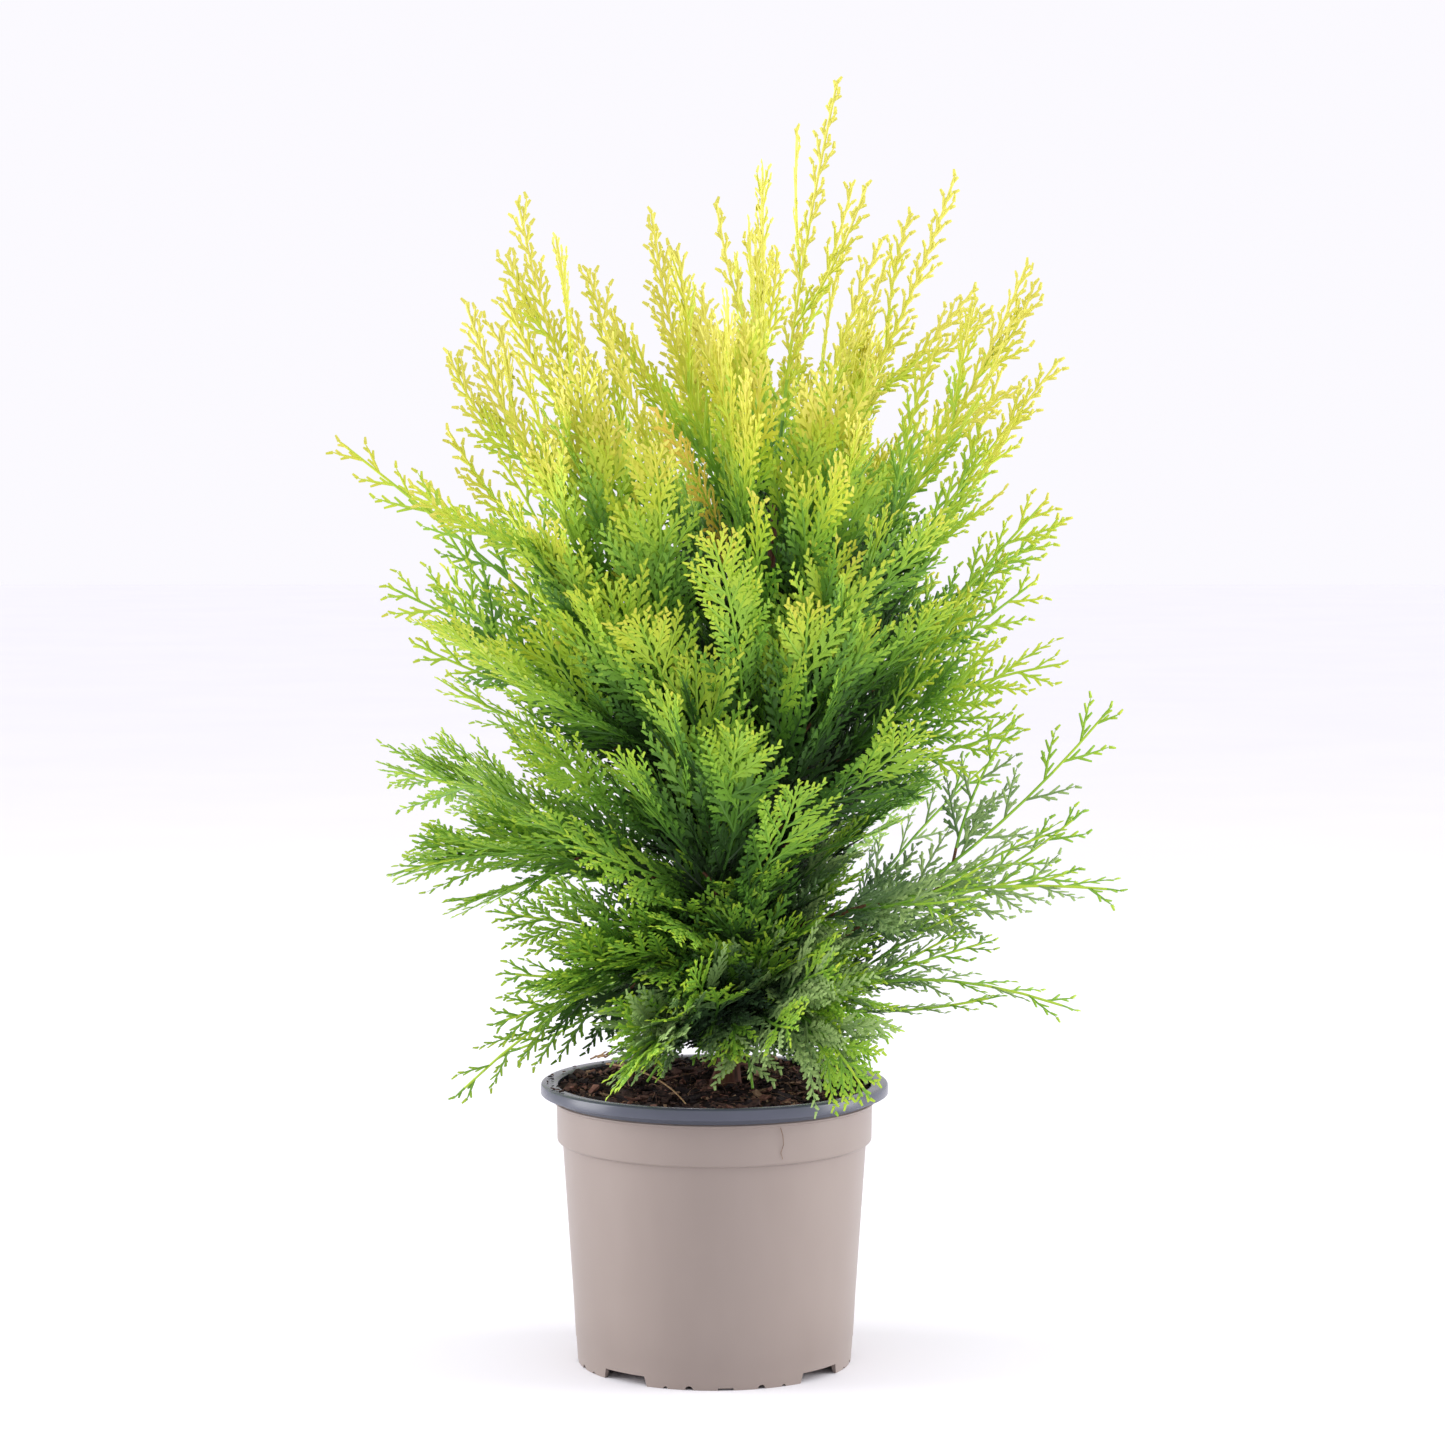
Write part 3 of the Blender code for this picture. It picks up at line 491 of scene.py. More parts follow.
def mesh_object(name, verts, faces, materials, face_slots=(), smooth=False):
    mesh = bpy.data.meshes.new(name)
    mesh.from_pydata(verts, [], faces)
    for material in materials:
        mesh.materials.append(material)
    if face_slots:
        mesh.polygons.foreach_set("material_index", face_slots)
    if smooth:
        smoothed(mesh)
    else:
        mesh.shade_flat()
    mesh.update()
    return placed(name, mesh)


def smoothed(mesh):
    mesh.shade_smooth()
    mesh.set_sharp_from_angle(angle=SMOOTH_ANGLE)


def placed(name, data):
    obj = bpy.data.objects.new(name, data)
    bpy.context.scene.collection.objects.link(obj)
    return obj


def dress(obj, *nodes):
    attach(obj, "root")
    if nodes:
        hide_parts(*nodes)


class Heap:
    """Triangles of many small closed shapes, gathered for one mesh."""

    def __init__(self):
        self.parts = []
        self.count = 0

    def add(self, points, triangles, slots):
        self.parts.append((points, triangles + self.count, slots))
        self.count += len(points)

    def build(self, name, materials):
        points, triangles, slots = (np.concatenate(part).tolist() for part in zip(*self.parts))
        return mesh_object(name, points, triangles, materials, slots)


# The plant's rule


def steps(first, last, count):
    """Evenly spaced values from first to last."""
    return [first + (last - first) * k / (count - 1) for k in range(count)]


def polar(radius, angle):
    return radius * cos(angle), radius * sin(angle)


def graded(value, places, sizes):
    return float(np.interp(value, places, sizes))


def keyed(keys, row):
    """Row of a table by its keys, as far as it has values."""
    return {key: value for key, value in zip(keys, row) if value is not None}


def trunk_centre(height):
    rise = height - SOIL_Z
    sway = TRUNK_WAVE * sin(rise * 34.0)
    return Vector((TRUNK_X + TRUNK_LEAN * rise + sway, 0.8 * sway, height))


def trunk_radius(height):
    rise = height - SOIL_Z
    share = rise / (TRUNK_TOP_Z - SOIL_Z)
    body = TRUNK_R + (TRUNK_TIP_R - TRUNK_R) * share ** 0.85 if share > 0 else TRUNK_R
    return body + FLARE_R * exp(-rise / FLARE_HEIGHT)


def trunk_side(foot, away, tall):
    levels = [foot.z + tall * share for share in steps(-1.0, 1.0, 5)]
    return max((trunk_centre(z) - foot).dot(away) + trunk_radius(z) for z in levels)


def heading(azimuth):
    return Vector((*polar(1.0, radians(azimuth)), 0.0))


def bend(curve, t):
    a, b, c = curve
    return a * (1 - t) ** 2 + b * (2 * t * (1 - t)) + c * t ** 2


def bend_run(curve, t):
    a, b, c = curve
    return ((b - a) * (1 - t) + (c - b) * t).normalized()


def bend_length(curve):
    marks = [bend(curve, k / 12) for k in range(13)]
    return sum((q - p).length for p, q in zip(marks, marks[1:]))


def later_part(curve, start):
    a, b, c = curve
    return bend(curve, start), b + (c - b) * start, c


def mass_plan():
    """Sizes of every mass: tier by tier, seeded within each tier, accents last."""
    plans = []
    for tier, row in TIERS.items():
        sizes = keyed(TIER, row)
        count = sizes["count"]
        low, high = sizes["root"]
        for k in range(count):
            rule = random.Random(f"{SEED}-{tier}-{k}")
            place = (k * 3 % count + 0.5) / count
            plan = {
                **sizes,
                "name": f"{tier}.{k}",
                "label": f"{tier}_{k}",
                "tier": tier,
                "azimuth": sizes["first"] + 360.0 / count * (k + rule.uniform(-0.12, 0.12)),
                "root": low + (high - low) * place,
                "tip": rule.uniform(*sizes["tip"]),
                "reach": sizes["reach"] * rule.uniform(0.93, 1.04),
                "roll": rule.uniform(-sizes["roll"], sizes["roll"]),
                "turn": rule.randrange(2),
            }
            plans.append({**plan, **keyed(ACCENT, ACCENTS.get(plan["name"], ()))})
    return plans


def limb_curve(plan):
    """Curve of one limb, from the trunk to the tip of its mass."""
    away = heading(plan["azimuth"])
    if plan["name"] == "leader.0":
        start = trunk_centre(TRUNK_TOP_Z) + GAP * UP
        rise = plan["tip"] - TRUNK_TOP_Z
        out = away * plan["reach"]
        return start, start + UP * rise * 0.5 + out * 0.25, start + out + UP * (rise - GAP)
    foot = trunk_centre(plan["root"])
    lift = radians(plan["leave"])
    tall = (BOUGH_ROOT_R if plan["bough"] else STEM_R) / cos(lift)
    start = foot + away * (trunk_side(foot, away, tall) + GAP)
    tip = foot + away * plan["reach"] + UP * (plan["tip"] - plan["root"])
    first = cos(lift) * away + sin(lift) * UP
    return start, start + first * 0.5 * (tip - start).length, tip


def width_axis(run, roll):
    level = UP.cross(run)
    if level.length < 0.05:
        level = Vector((1.0, 0.0, 0.0))
    level.normalize()
    return Matrix.Rotation(roll, 3, run) @ level


def side_curve(curve, place, sign, roll, rule, angle=SIDE_ANGLE, rise=0.0):
    start = bend(curve, place)
    run = bend_run(curve, place)
    across = width_axis(run, roll)
    normal = run.cross(across).normalized()
    lift = rule.uniform(-SIDE_LIFT, SIDE_LIFT)
    turn = angle * rule.uniform(0.85, 1.15)
    out = (cos(lift) * across * sign + sin(lift) * normal).normalized()
    first = cos(turn) * run + sin(turn) * out
    reach = SIDE_SHARE * bend_length(curve) * (1.05 - place) * rule.uniform(0.85, 1.1)
    tip = start + (first + 0.45 * run + rise * UP).normalized() * reach
    return start, start + first * 0.5 * reach, tip


def habit_of(plan):
    own = keyed(OPEN, OPENNESS.get(plan["name"], ()))
    return {**keyed(HABIT, HABITS[plan["tier"]]), **own}


def plumes_of(plan):
    """Plumes of a mass: curve, roll, size of the sprays, first place, stem radius, airy end."""
    limb = limb_curve(plan)
    habit = habit_of(plan)
    main = later_part(limb, BOUGH_SHARE) if plan["bough"] else limb
    roll = radians(plan["roll"])
    plumes = [(main, roll, *MAIN_SPRAYS, STEM_R, True)]
    for k, place in enumerate(SIDE_PLACES + FINER_PLACES[: habit["finer"]]):
        rule = random.Random(f"{SEED}-side-{plan['name']}-{k}")
        sign = 1.0 if (k + plan["turn"]) % 2 else -1.0
        finer = (FINER_ANGLE, habit["lift"]) if k >= len(SIDE_PLACES) else ()
        curve = side_curve(main, place, sign, roll, rule, *finer)
        twist = rule.uniform(-SIDE_ROLL, SIDE_ROLL)
        plumes.append((curve, roll + twist, *SIDE_SPRAYS, SIDE_STEM_R, True))
    if plan["tier"] == "leader":
        return plumes
    a, b, _ = limb
    first, middle, last = INNER_SHARES
    inner = (bend(limb, first), a + (b - a) * middle, bend(limb, last))
    plumes.append((inner, roll + INNER_ROLL, *INNER_SPRAYS, SIDE_STEM_R, False))
    spread = habit.get("spread", CLOSE_ROLL)
    for turn, lower, *sprays in CLOSE_PLUMES:
        foot = trunk_centre(max(plan["root"] + CLOSE_ABOVE - lower, CLOSE_LOWEST))
        away = heading(plan["azimuth"] + turn)
        start = foot + away * 0.8 * trunk_radius(foot.z)
        tip = foot + habit["near"] * away + (habit["rise"] - 0.6 * lower) * UP
        close = (start, start + CLOSE_OUT * away + CLOSE_UP * UP, tip)
        plumes.append((close, spread, *sprays, SIDE_STEM_R, False))
    return plumes


def spray_length(share, longest, length):
    """Long all the way, but no spray reaches past the plume's own tip."""
    body = min(1.0, 0.62 + 1.4 * share) * min(1.0, 1.10 - 0.32 * share)
    ahead = (1.0 - share) * length
    return max(SPRAY_MIN, min(longest * body, 1.12 * ahead + SPRAY_TIP))


# Foliage from arrays


def unit(array):
    return array / np.maximum(np.linalg.norm(array, axis=-1, keepdims=True), 1e-12)


def square_to(vectors, runs):
    return unit(vectors - runs * np.sum(vectors * runs, -1, keepdims=True))


def blades(roots, runs, normals, lengths, half):
    """Slim closed straps: flat below, ridged above, tapering to a blunt tip."""
    side = np.cross(normals, runs) * half
    length = lengths[:, None]
    tips = roots + runs * length
    ridge = roots + runs * length * 0.55 + normals * half * SEGMENT_RIDGE
    end = side * SEGMENT_TIP
    points = np.stack([roots + side, roots - side, tips - end, tips + end, ridge], axis=1)
    return repeated(points, [[2, 1, 0], [3, 2, 0], [4, 0, 1], [4, 1, 2], [4, 2, 3], [4, 3, 0]])


def repeated(points, pattern):
    """One row of points and one pattern of triangles for every small shape."""
    count, per = points.shape[:2]
    triangles = (np.arange(count) * per)[:, None, None] + np.array(pattern)[None]
    return points.reshape(-1, 3), triangles.reshape(-1, 3)


def ribs(roots, runs, bends, normals, lengths, half):
    """Axes of the sprays: slim four-sided tapering tubes that follow their curves."""
    rings = 3
    side = np.cross(normals, runs)
    points = []
    for k in range(rings):
        share = k / rings
        centre = roots + runs * (lengths * share)[:, None] + bends * (lengths * share ** 2)[:, None]
        radius = half * (1.0 - 0.5 * share)
        for direction, scale in ((side, 1.0), (normals, 0.7), (-side, 1.0), (-normals, 0.7)):
            points.append(centre + direction * radius * scale)
    points.append(roots + runs * lengths[:, None] + bends * lengths[:, None])
    pattern = [[0, 2, 1], [0, 3, 2]]
    last = 4 * (rings - 1)
    for a in range(0, last, 4):
        for i in range(4):
            j = (i + 1) % 4
            pattern += [[a + i, a + j, a + 4 + j], [a + i, a + 4 + j, a + 4 + i]]
    pattern += [[last + i, last + (i + 1) % 4, last + 4] for i in range(4)]
    return repeated(np.stack(points, axis=1), pattern)


def stations(lengths, pitches, first, last):
    """For each stem, evenly spaced places along it: owner, share and side."""
    counts = np.maximum(2, ((last - first) * lengths / pitches).astype(int))
    owner = np.repeat(np.arange(len(lengths)), counts)
    starts = np.concatenate([[0], np.cumsum(counts)[:-1]])
    order = np.arange(len(owner)) - starts[owner]
    share = first + (last - first) * (order + 0.5) / counts[owner]
    side = np.where((order + owner) % 2 == 0, 1.0, -1.0)
    return owner, share, side


def tone_slots(tone, blue, amber):
    """Material slot of each spraylet: greens first, then blue-greens, then amber."""
    green, cool = (
        np.clip(np.round(share * (len(family) - 1)), 0, len(family) - 1).astype(int)
        for share, family in ((tone, GREENS), (tone * 1.7, BLUES))
    )
    slots = np.where(blue, len(GREENS) + cool, green)
    return np.where(amber, len(GREENS) + len(BLUES), slots)


def leaving(runs, normals, angles, sides, lifts):
    """Directions that leave flat stems to one side, and their own normals."""
    across = np.cross(normals, runs)
    out = unit(
        runs * np.cos(angles)[:, None]
        + across * (sides * np.sin(angles))[:, None]
        + normals * lifts[:, None]
    )
    return out, square_to(normals, out)


def grow_sprays(rows, rule, fine=1.0):
    """Carries sprays on to spraylets and to their finest scale-leaved segments."""
    rows = np.array(rows, float)
    roots, runs, bends, normals = (rows[:, k : k + 3] for k in (0, 3, 6, 9))
    lengths, tones, blue, amber, lace = rows[:, 12:].T
    half = SEGMENT_HALF * fine
    heap = Heap()

    def add(shapes, tone, owner):
        points, triangles = shapes
        slots = tone_slots(tone, blue[owner] > 0.5, amber[owner] > 0.5)
        per = len(triangles) // max(1, len(slots))
        heap.add(points, triangles, np.repeat(slots, per))

    axes = ribs(roots, runs, bends, normals, lengths, RIB_SHARE * half)
    add(axes, tones + STEM_SHADE, np.arange(len(rows)))

    pitches = lace * np.clip(TWIG_PITCH * lengths, *TWIG_PITCHES)
    owner, share, side = stations(lengths, pitches, *TWIG_PLACES)
    length = lengths[owner]
    shape = np.minimum(1.0, 0.66 + 1.6 * share) * np.clip(1.22 - 1.02 * share, 0.0, 1.0)
    twig = np.minimum(TWIG_SHARE * length, TWIG_MAX) * shape
    twig = np.maximum(TWIG_MIN, twig * rule.uniform(0.86, 1.12, len(owner)))
    ahead = runs[owner] * (length * share)[:, None]
    centre = roots[owner] + ahead + bends[owner] * (length * share ** 2)[:, None]
    tangent = unit(runs[owner] + 2.0 * share[:, None] * bends[owner])
    normal = square_to(normals[owner], tangent)
    turn = TWIG_ANGLE * rule.uniform(0.88, 1.10, len(owner)) * (1.0 - 0.18 * share)
    run, normal = leaving(tangent, normal, turn, side, rule.normal(0.0, 0.09, len(owner)))
    tone = tones[owner] + 0.16 * (share - 0.45) + rule.normal(0.0, TONE_NOISE, len(owner))
    add(blades(centre, run, normal, twig, half), tone, owner)

    wide = lace[owner]
    long = np.flatnonzero(twig > BARE_TWIG * wide)
    stem, place, flank = stations(twig[long], SEGMENT_PITCH * wide[long], *SEGMENT_PLACES)
    stem = long[stem]
    fade = np.clip(1.14 - 0.80 * place, 0.35, 1.0)
    size = SEGMENT_MAX * fade * np.clip(twig[stem] / 0.011, 0.50, 1.0)
    size *= rule.uniform(0.85, 1.15, len(size))
    base = centre[stem] + run[stem] * (twig[stem] * place)[:, None]
    angle = SEGMENT_ANGLE * rule.uniform(0.82, 1.18, len(size))
    way, up = leaving(run[stem], normal[stem], angle, flank, rule.normal(0.0, 0.08, len(size)))
    add(blades(base, way, up, size, half), tone[stem] + 0.07 * (place - 0.4), owner[stem])
    return heap


def blocked(root, tip):
    """True where a spray would run into the pot or the growing medium."""
    return any(
        hypot(point.x, point.y) < FLANGE_R + RIM_CLEARANCE
        and point.z < FLANGE_Z + RIM_CLEARANCE
        for point in (tip, (root + tip) / 2)
    )


def tone_at(point, shift):
    """Darker green in the crown's middle as painted shade, gold towards its top and its outside."""
    out = hypot(point.x - trunk_centre(point.z).x, point.y)
    deep = graded(point.z, SHADE_FADE, (SHADE_DEPTH, 0.0))
    inner = deep * max(0.0, 1.0 - out / graded(point.z, TONE_HEIGHTS, CROWN_RADII))
    outer = OUTER_GAIN * max(0.0, out - OUTER_REACH) if point.z < OUTER_TOP else 0.0
    return graded(point.z, TONE_HEIGHTS, TONE_VALUES) + shift + outer - inner


def spray_places(plan, curve, scale, first, airy):
    """Shares along a plume where sprays leave it, with their lengths and their lace."""
    usual = keyed(HABIT, HABITS[plan["tier"]])
    outer = habit_of(plan)
    length = bend_length(curve)
    share = first
    while share < SPRAYS_END:
        mix = graded(share, AIRY_PLACES, (0.0, 1.0)) if airy else 0.0
        long, apart, lace = (
            usual[key] + (outer[key] - usual[key]) * mix for key in ("share", "apart", "lace")
        )
        size = spray_length(share, scale * long * plan["spray"], length)
        yield share, size, lace
        share += apart * max(SPRAY_CLOSEST, SPRAY_PITCH * size) / length
    yield *LAST_SPRAY, outer["lace"]


def spray_rows(plan, rule):
    """Every spray of a mass: root, run, bend, normal, length, tone, blue, amber and lace."""
    rows = []
    habit = habit_of(plan)
    angle = radians(habit["angle"])
    # Random tone of the mass, plus the painted light from the table, which is painted shade below
    # zero
    shift = rule.uniform(-0.05, 0.05) + habit.get("light", 0.0)
    for index, (curve, roll, scale, first, _, airy) in enumerate(plumes_of(plan)):
        flip = 1.0 if rule.random() < 0.5 else -1.0
        cool = habit["cool"] + rule.uniform(-0.02, 0.02)
        plume_tone = shift + rule.uniform(-0.06, 0.06)
        gold = index == AMBER_PLUMES.get(plan["name"])
        for share, size, lace in spray_places(plan, curve, scale, first, airy):
            flip = -flip
            root = bend(curve, share)
            run = bend_run(curve, share)
            across = width_axis(run, roll)
            longest = habit["longest"] if share < EVEN_FROM else 1.0
            size *= rule.uniform(habit["shortest"], longest)
            turn = 0.0 if share == LAST_SPRAY[0] else angle * rule.uniform(0.84, 1.14)
            out = cos(turn) * run + sin(turn) * flip * across
            tilt = Matrix.Rotation(rule.uniform(-SPRAY_TILT, SPRAY_TILT), 3, run)
            out = (tilt @ out).normalized()
            normal = run.cross(tilt @ across).normalized()
            normal = (normal - out * normal.dot(out)).normalized()
            curl = SPRAY_CURL * (run - out * run.dot(out)) + rule.uniform(-0.10, 0.05) * normal
            if blocked(root, root + (out + curl) * size):
                continue
            # Painted shade in the crown's middle and at the plume's root, gold towards the top,
            # tips and outside
            tone = tone_at(root, plume_tone)
            tone += graded(root.z, SLOPE_HEIGHTS, TONE_SLOPES) * (share - SLOPE_MIDDLE)
            tone = min(tone + rule.gauss(0.0, TONE_NOISE), graded(root.z, CAP_HEIGHTS, TONE_CAPS))
            blue = root.z < cool and share < rule.uniform(0.50, 0.90)
            amber = gold and share > AMBER_FROM
            rows.append((*root, *out, *curl, *normal, size, tone, blue, amber, lace))
    return rows


def make_foliage(plan, materials):
    rule = random.Random(f"{SEED}-sprays-{plan['name']}")
    rows = spray_rows(plan, rule)
    seeded = np.random.default_rng(rule.randrange(10 ** 6))
    heap = grow_sprays(rows, seeded, habit_of(plan)["fine"])
    dress(heap.build("sprays_" + plan["label"], materials), "foliage_" + plan["label"])


# Wood


def bark_height(angle, share, radius, length, seed):
    """Long shallow furrows and flakes of a young cypress's bark."""
    around = Vector((*polar(1.0, angle), 0.0)) * 2.6
    along = share * length * 42.0
    strip = noise.noise(around + Vector((seed, 0.0, along)))
    flake = noise.noise(around * 2.3 + Vector((0.0, seed, along * 3.2)))
    return radius * (0.13 * strip + 0.07 * flake)


def add_tube(verts, faces, points, radii, sides, relief=None):
    """Adds a limb, ends first, to a mesh in the making, and returns how many faces it has."""
    start = len(verts)
    last = len(points) - 1
    for i, (point, radius) in enumerate(zip(points, radii)):
        run = (points[min(i + 1, last)] - points[max(i - 1, 0)]).normalized()
        u = (ACROSS - run * ACROSS.dot(run)).normalized()
        v = run.cross(u)
        for k in range(sides):
            angle = tau * k / sides
            bark = bark_height(angle, i / last, *relief) if relief else 0.0
            x, y = polar(radius + bark, angle)
            verts.append(point + x * u + y * v)
    far = start + last * sides
    new = [tuple(start + k for k in reversed(range(sides))), tuple(far + k for k in range(sides))]
    for a in range(start, far, sides):
        for k in range(sides):
            after = (k + 1) % sides
            new.append((a + k, a + after, a + sides + after, a + sides + k))
    faces += new
    return len(new)


def make_wood():
    """Trunk and boughs, with the relief of their bark, as one piece."""
    verts, faces = [], []
    heights = steps(SOIL_Z - TRUNK_SUNK, TRUNK_TOP_Z, TRUNK_RINGS)
    points = [trunk_centre(h) for h in heights]
    radii = [trunk_radius(max(h, SOIL_Z)) for h in heights]
    add_tube(verts, faces, points, radii, TRUNK_SIDES, (TRUNK_R, *TRUNK_BARK))
    nodes = ["trunk"]
    for index, plan in enumerate(mass_plan()):
        if not plan["bough"]:
            continue
        curve = limb_curve(plan)
        points = [bend(curve, t) for t in steps(0.0, BOUGH_SHARE * 1.02, BOUGH_RINGS)]
        points[0] -= BOUGH_SUNK * heading(plan["azimuth"])
        radii = steps(BOUGH_ROOT_R, BOUGH_TIP_R, BOUGH_RINGS)
        for k, wider in enumerate(BOUGH_COLLAR):
            radii[k] *= wider
        bark = (BOUGH_ROOT_R, BOUGH_BARK[0], BOUGH_BARK[1] + index)
        add_tube(verts, faces, points, radii, BOUGH_SIDES, bark)
        nodes.append("bough_" + plan["label"])
    # Red-brown bark, darkened with painted shade to the trunk's tone deep inside the crown
    brown = bark_material("bark_red_brown", (40, 24, 20), (88, 54, 42), (128, 90, 70), 210.0)
    dress(mesh_object("bark", verts, faces, [brown], smooth=True), *nodes)


def make_twigs(palette):
    """Stems of the plumes: brown where they leave the wood, in the foliage's tones beyond."""
    verts, faces, slots = [], [], []
    lightest = len(GREENS) - 1
    shares = steps(0.0, STEM_END, STEM_RINGS)
    for plan in mass_plan():
        upper = plan["tier"] in ("high", "leader")
        for index, (curve, _, _, _, radius, _) in enumerate(plumes_of(plan)):
            points = [bend(curve, t) for t in shares]
            thick = radius * (0.7 if upper else 0.85)
            radii = [thick + (STEM_TIP_R - thick) * t ** 0.8 for t in shares]
            brown_end = 0 if upper or index > 3 else (2 if index == 0 else 1)
            for k in range(add_tube(verts, faces, points, radii, STEM_SIDES)):
                ring = (0, STEM_RINGS - 2)[k] if k < 2 else (k - 2) // STEM_SIDES
                # Stems take the foliage's tones, painted shade of the crown's middle included
                tone = tone_at(points[ring], STEM_SHADE) + STEM_SLOPE * (shares[ring] - 0.5)
                green = min(lightest, max(0, round(tone * lightest)))
                slots.append(0 if ring < brown_end else 1 + green)
    brown = bark_material("twig_brown", (52, 34, 24), (92, 62, 42), (124, 92, 64), 500.0)
    materials = [brown] + palette[: len(GREENS)]
    dress(mesh_object("twigs", verts, faces, materials, slots, smooth=True))


# Pot


def pot_profile():
    """Closed section of the pot, from its middle underneath, round the outside, to the inside.

    Each row is a sharp place, then its points in tenths of a millimetre outward and up from it.
    """
    wall = POT_WALL
    floor = CHANNEL_Z + wall
    under = FLANGE_Z - FLANGE_THICK
    lip = FLANGE_R - LIP_THICK
    rows = (
        (PAD_R, 0.0, (-10, 0), (0, 2)),
        (CHANNEL_IN_R, CHANNEL_Z, (0, 0)),
        (CHANNEL_OUT_R, CHANNEL_Z, (0, 0)),
        (FOOT_R - 1.4 * wall, 0.0, (0, 2)),
        (FOOT_R - 1.2 * wall, 0.0, (0, 0)),
        (FOOT_R, 0.0, (-2, 0), (0, 2)),
        *((FOOT_R + (SHOULDER_R - FOOT_R) * t, SHOULDER_Z * t, (step, 0)) for t, step in TAPER),
        (SHOULDER_R, SHOULDER_Z, (2, 0)),
        (COLLAR_R, COLLAR_FOOT_Z, (-10, -6), (-4, 0), (-2, 8)),
        (COLLAR_R, COLLAR_Z, (0, -6)),
        (NECK_R, COLLAR_Z, (4, -1), (10, 4), (10, 10), (0, 16)),
        (NECK_R, under, (2, -4), (10, 0)),
        (lip, under, (-6, -2), (0, -8)),
        (lip, LIP_Z, (0, 2), (3, 0)),
        (FLANGE_R, LIP_Z, (-3, 0), (0, 3)),
        (FLANGE_R, FLANGE_Z, (0, -16), (-4, -7), (-14, -1), (-30, 0)),
        (NECK_R, FLANGE_Z, (16, -1)),
        (NECK_R - 0.3 * wall, FLANGE_Z, (4, -4)),
        (NECK_R - 0.8 * wall, FLANGE_Z, (0, -12)),
        (NECK_R - wall, FLANGE_Z, (0, -26)),
        (COLLAR_R - wall, COLLAR_FOOT_Z, (0, 0)),
        (SHOULDER_R - wall, SHOULDER_Z, (0, 0)),
        (FOOT_R - wall, floor, (7, 0)),
        (CHANNEL_IN_R, floor, (-8, 0)),
        (PAD_R, wall, (-8, 0)),
    )
    return [
        (radius + TENTH * out, height + TENTH * up)
        for radius, height, *points in rows
        for out, up in points
    ]


def turned(profile, sides, bottom, top):
    """Turns a profile round the pot's axis and closes it with a fan at either end."""
    count = len(profile)
    verts, walls, fans = [], [], []
    low = sides * count
    for k in range(sides):
        verts += [(*polar(radius, tau * k / sides), height) for radius, height in profile]
        here = k * count
        there = ((k + 1) % sides) * count
        walls += [(here + i, there + i, there + i + 1, here + i + 1) for i in range(count - 1)]
        fans += [(low, there, here), (low + 1, here + count - 1, there + count - 1)]
    return verts + [(0.0, 0.0, bottom), (0.0, 0.0, top)], walls + fans


def cutter(angle, outline):
    """Prism through the foot of the pot, with its outline across the wall."""
    count = len(outline)
    turn = Matrix.Rotation(angle - pi / 2.0, 4, "Z")
    spot = turn @ Matrix.Translation((FOOT_R - CUT_INSET, 0.0, 0.0))
    verts = [spot @ Vector((x, y, z)) for x in (-CUT_DEPTH, CUT_DEPTH) for y, z in outline]
    faces = [tuple(reversed(range(count))), tuple(range(count, 2 * count))]
    for k in range(count):
        after = (k + 1) % count
        faces.append((k, after, count + after, count + k))
    return mesh_object("cut", verts, faces, [])


def trapezium(half_angle, slope, height):
    half = FOOT_R * sin(half_angle)
    top = half - slope
    return [(-half, CUT_FROM_Z), (half, CUT_FROM_Z), (top, height), (-top, height)]


def foot_cutters():
    """An arch, a shallow slot and four notches to each quarter of the foot."""
    arch = trapezium(ARCH_HALF_ANGLE, ARCH_SLOPE, ARCH_HEIGHT)
    slot = trapezium(SLOT_HALF_ANGLE, 0.0, SLOT_HEIGHT)
    made = []
    for k in range(QUADRANTS):
        middle = FOOT_TURN + tau * k / QUADRANTS
        made += [cutter(middle + pi / QUADRANTS, arch), cutter(middle, slot)]
        for side in (-1.0, 1.0):
            for angle, radius in NOTCHES:
                notch = [polar(radius, tau * i / NOTCH_SIDES) for i in range(NOTCH_SIDES)]
                made.append(cutter(middle + side * angle, notch))
    return made


def carve(obj, tools):
    """Cuts the tools out of an object and removes them."""
    group = bpy.data.collections.new("foot_cuts")
    collection = bpy.context.scene.collection
    collection.children.link(group)
    for tool in tools:
        collection.objects.unlink(tool)
        group.objects.link(tool)
    boolean = obj.modifiers.new("cuts", "BOOLEAN")
    boolean.operation = "DIFFERENCE"
    boolean.operand_type = "COLLECTION"
    boolean.collection = group
    boolean.solver = "EXACT"
    graph = bpy.context.evaluated_depsgraph_get()
    mesh = bpy.data.meshes.new_from_object(obj.evaluated_get(graph))
    obj.modifiers.clear()
    obj.data = mesh
    for tool in tools:
        bpy.data.objects.remove(tool, do_unlink=True)
    bpy.data.collections.remove(group)
    return mesh


def make_pot():
    """Taupe outside, slate on the rim and inside."""
    verts, faces = turned(pot_profile(), POT_SIDES, 0.0, POT_WALL)
    taupe = pot_material("pot_taupe", (149, 136, 129), (143, 130, 123), 0.40, 0.00006)
    slate = pot_material("pot_slate", (78, 81, 94), (72, 75, 88), 0.26, 0.00004)
    pot = mesh_object("pot_shell", verts, faces, [taupe, slate], smooth=True)
    mesh = carve(pot, foot_cutters())
    for face in mesh.polygons:
        middle, normal = face.center, face.normal
        inward = normal.x * middle.x + normal.y * middle.y < 0.0 and middle.z > SLATE_FROM_Z
        face.material_index = 1 if inward or middle.z > LIP_Z - RIM_EDGE else 0
    smoothed(mesh)
    dress(pot, "pot")


# Growing medium


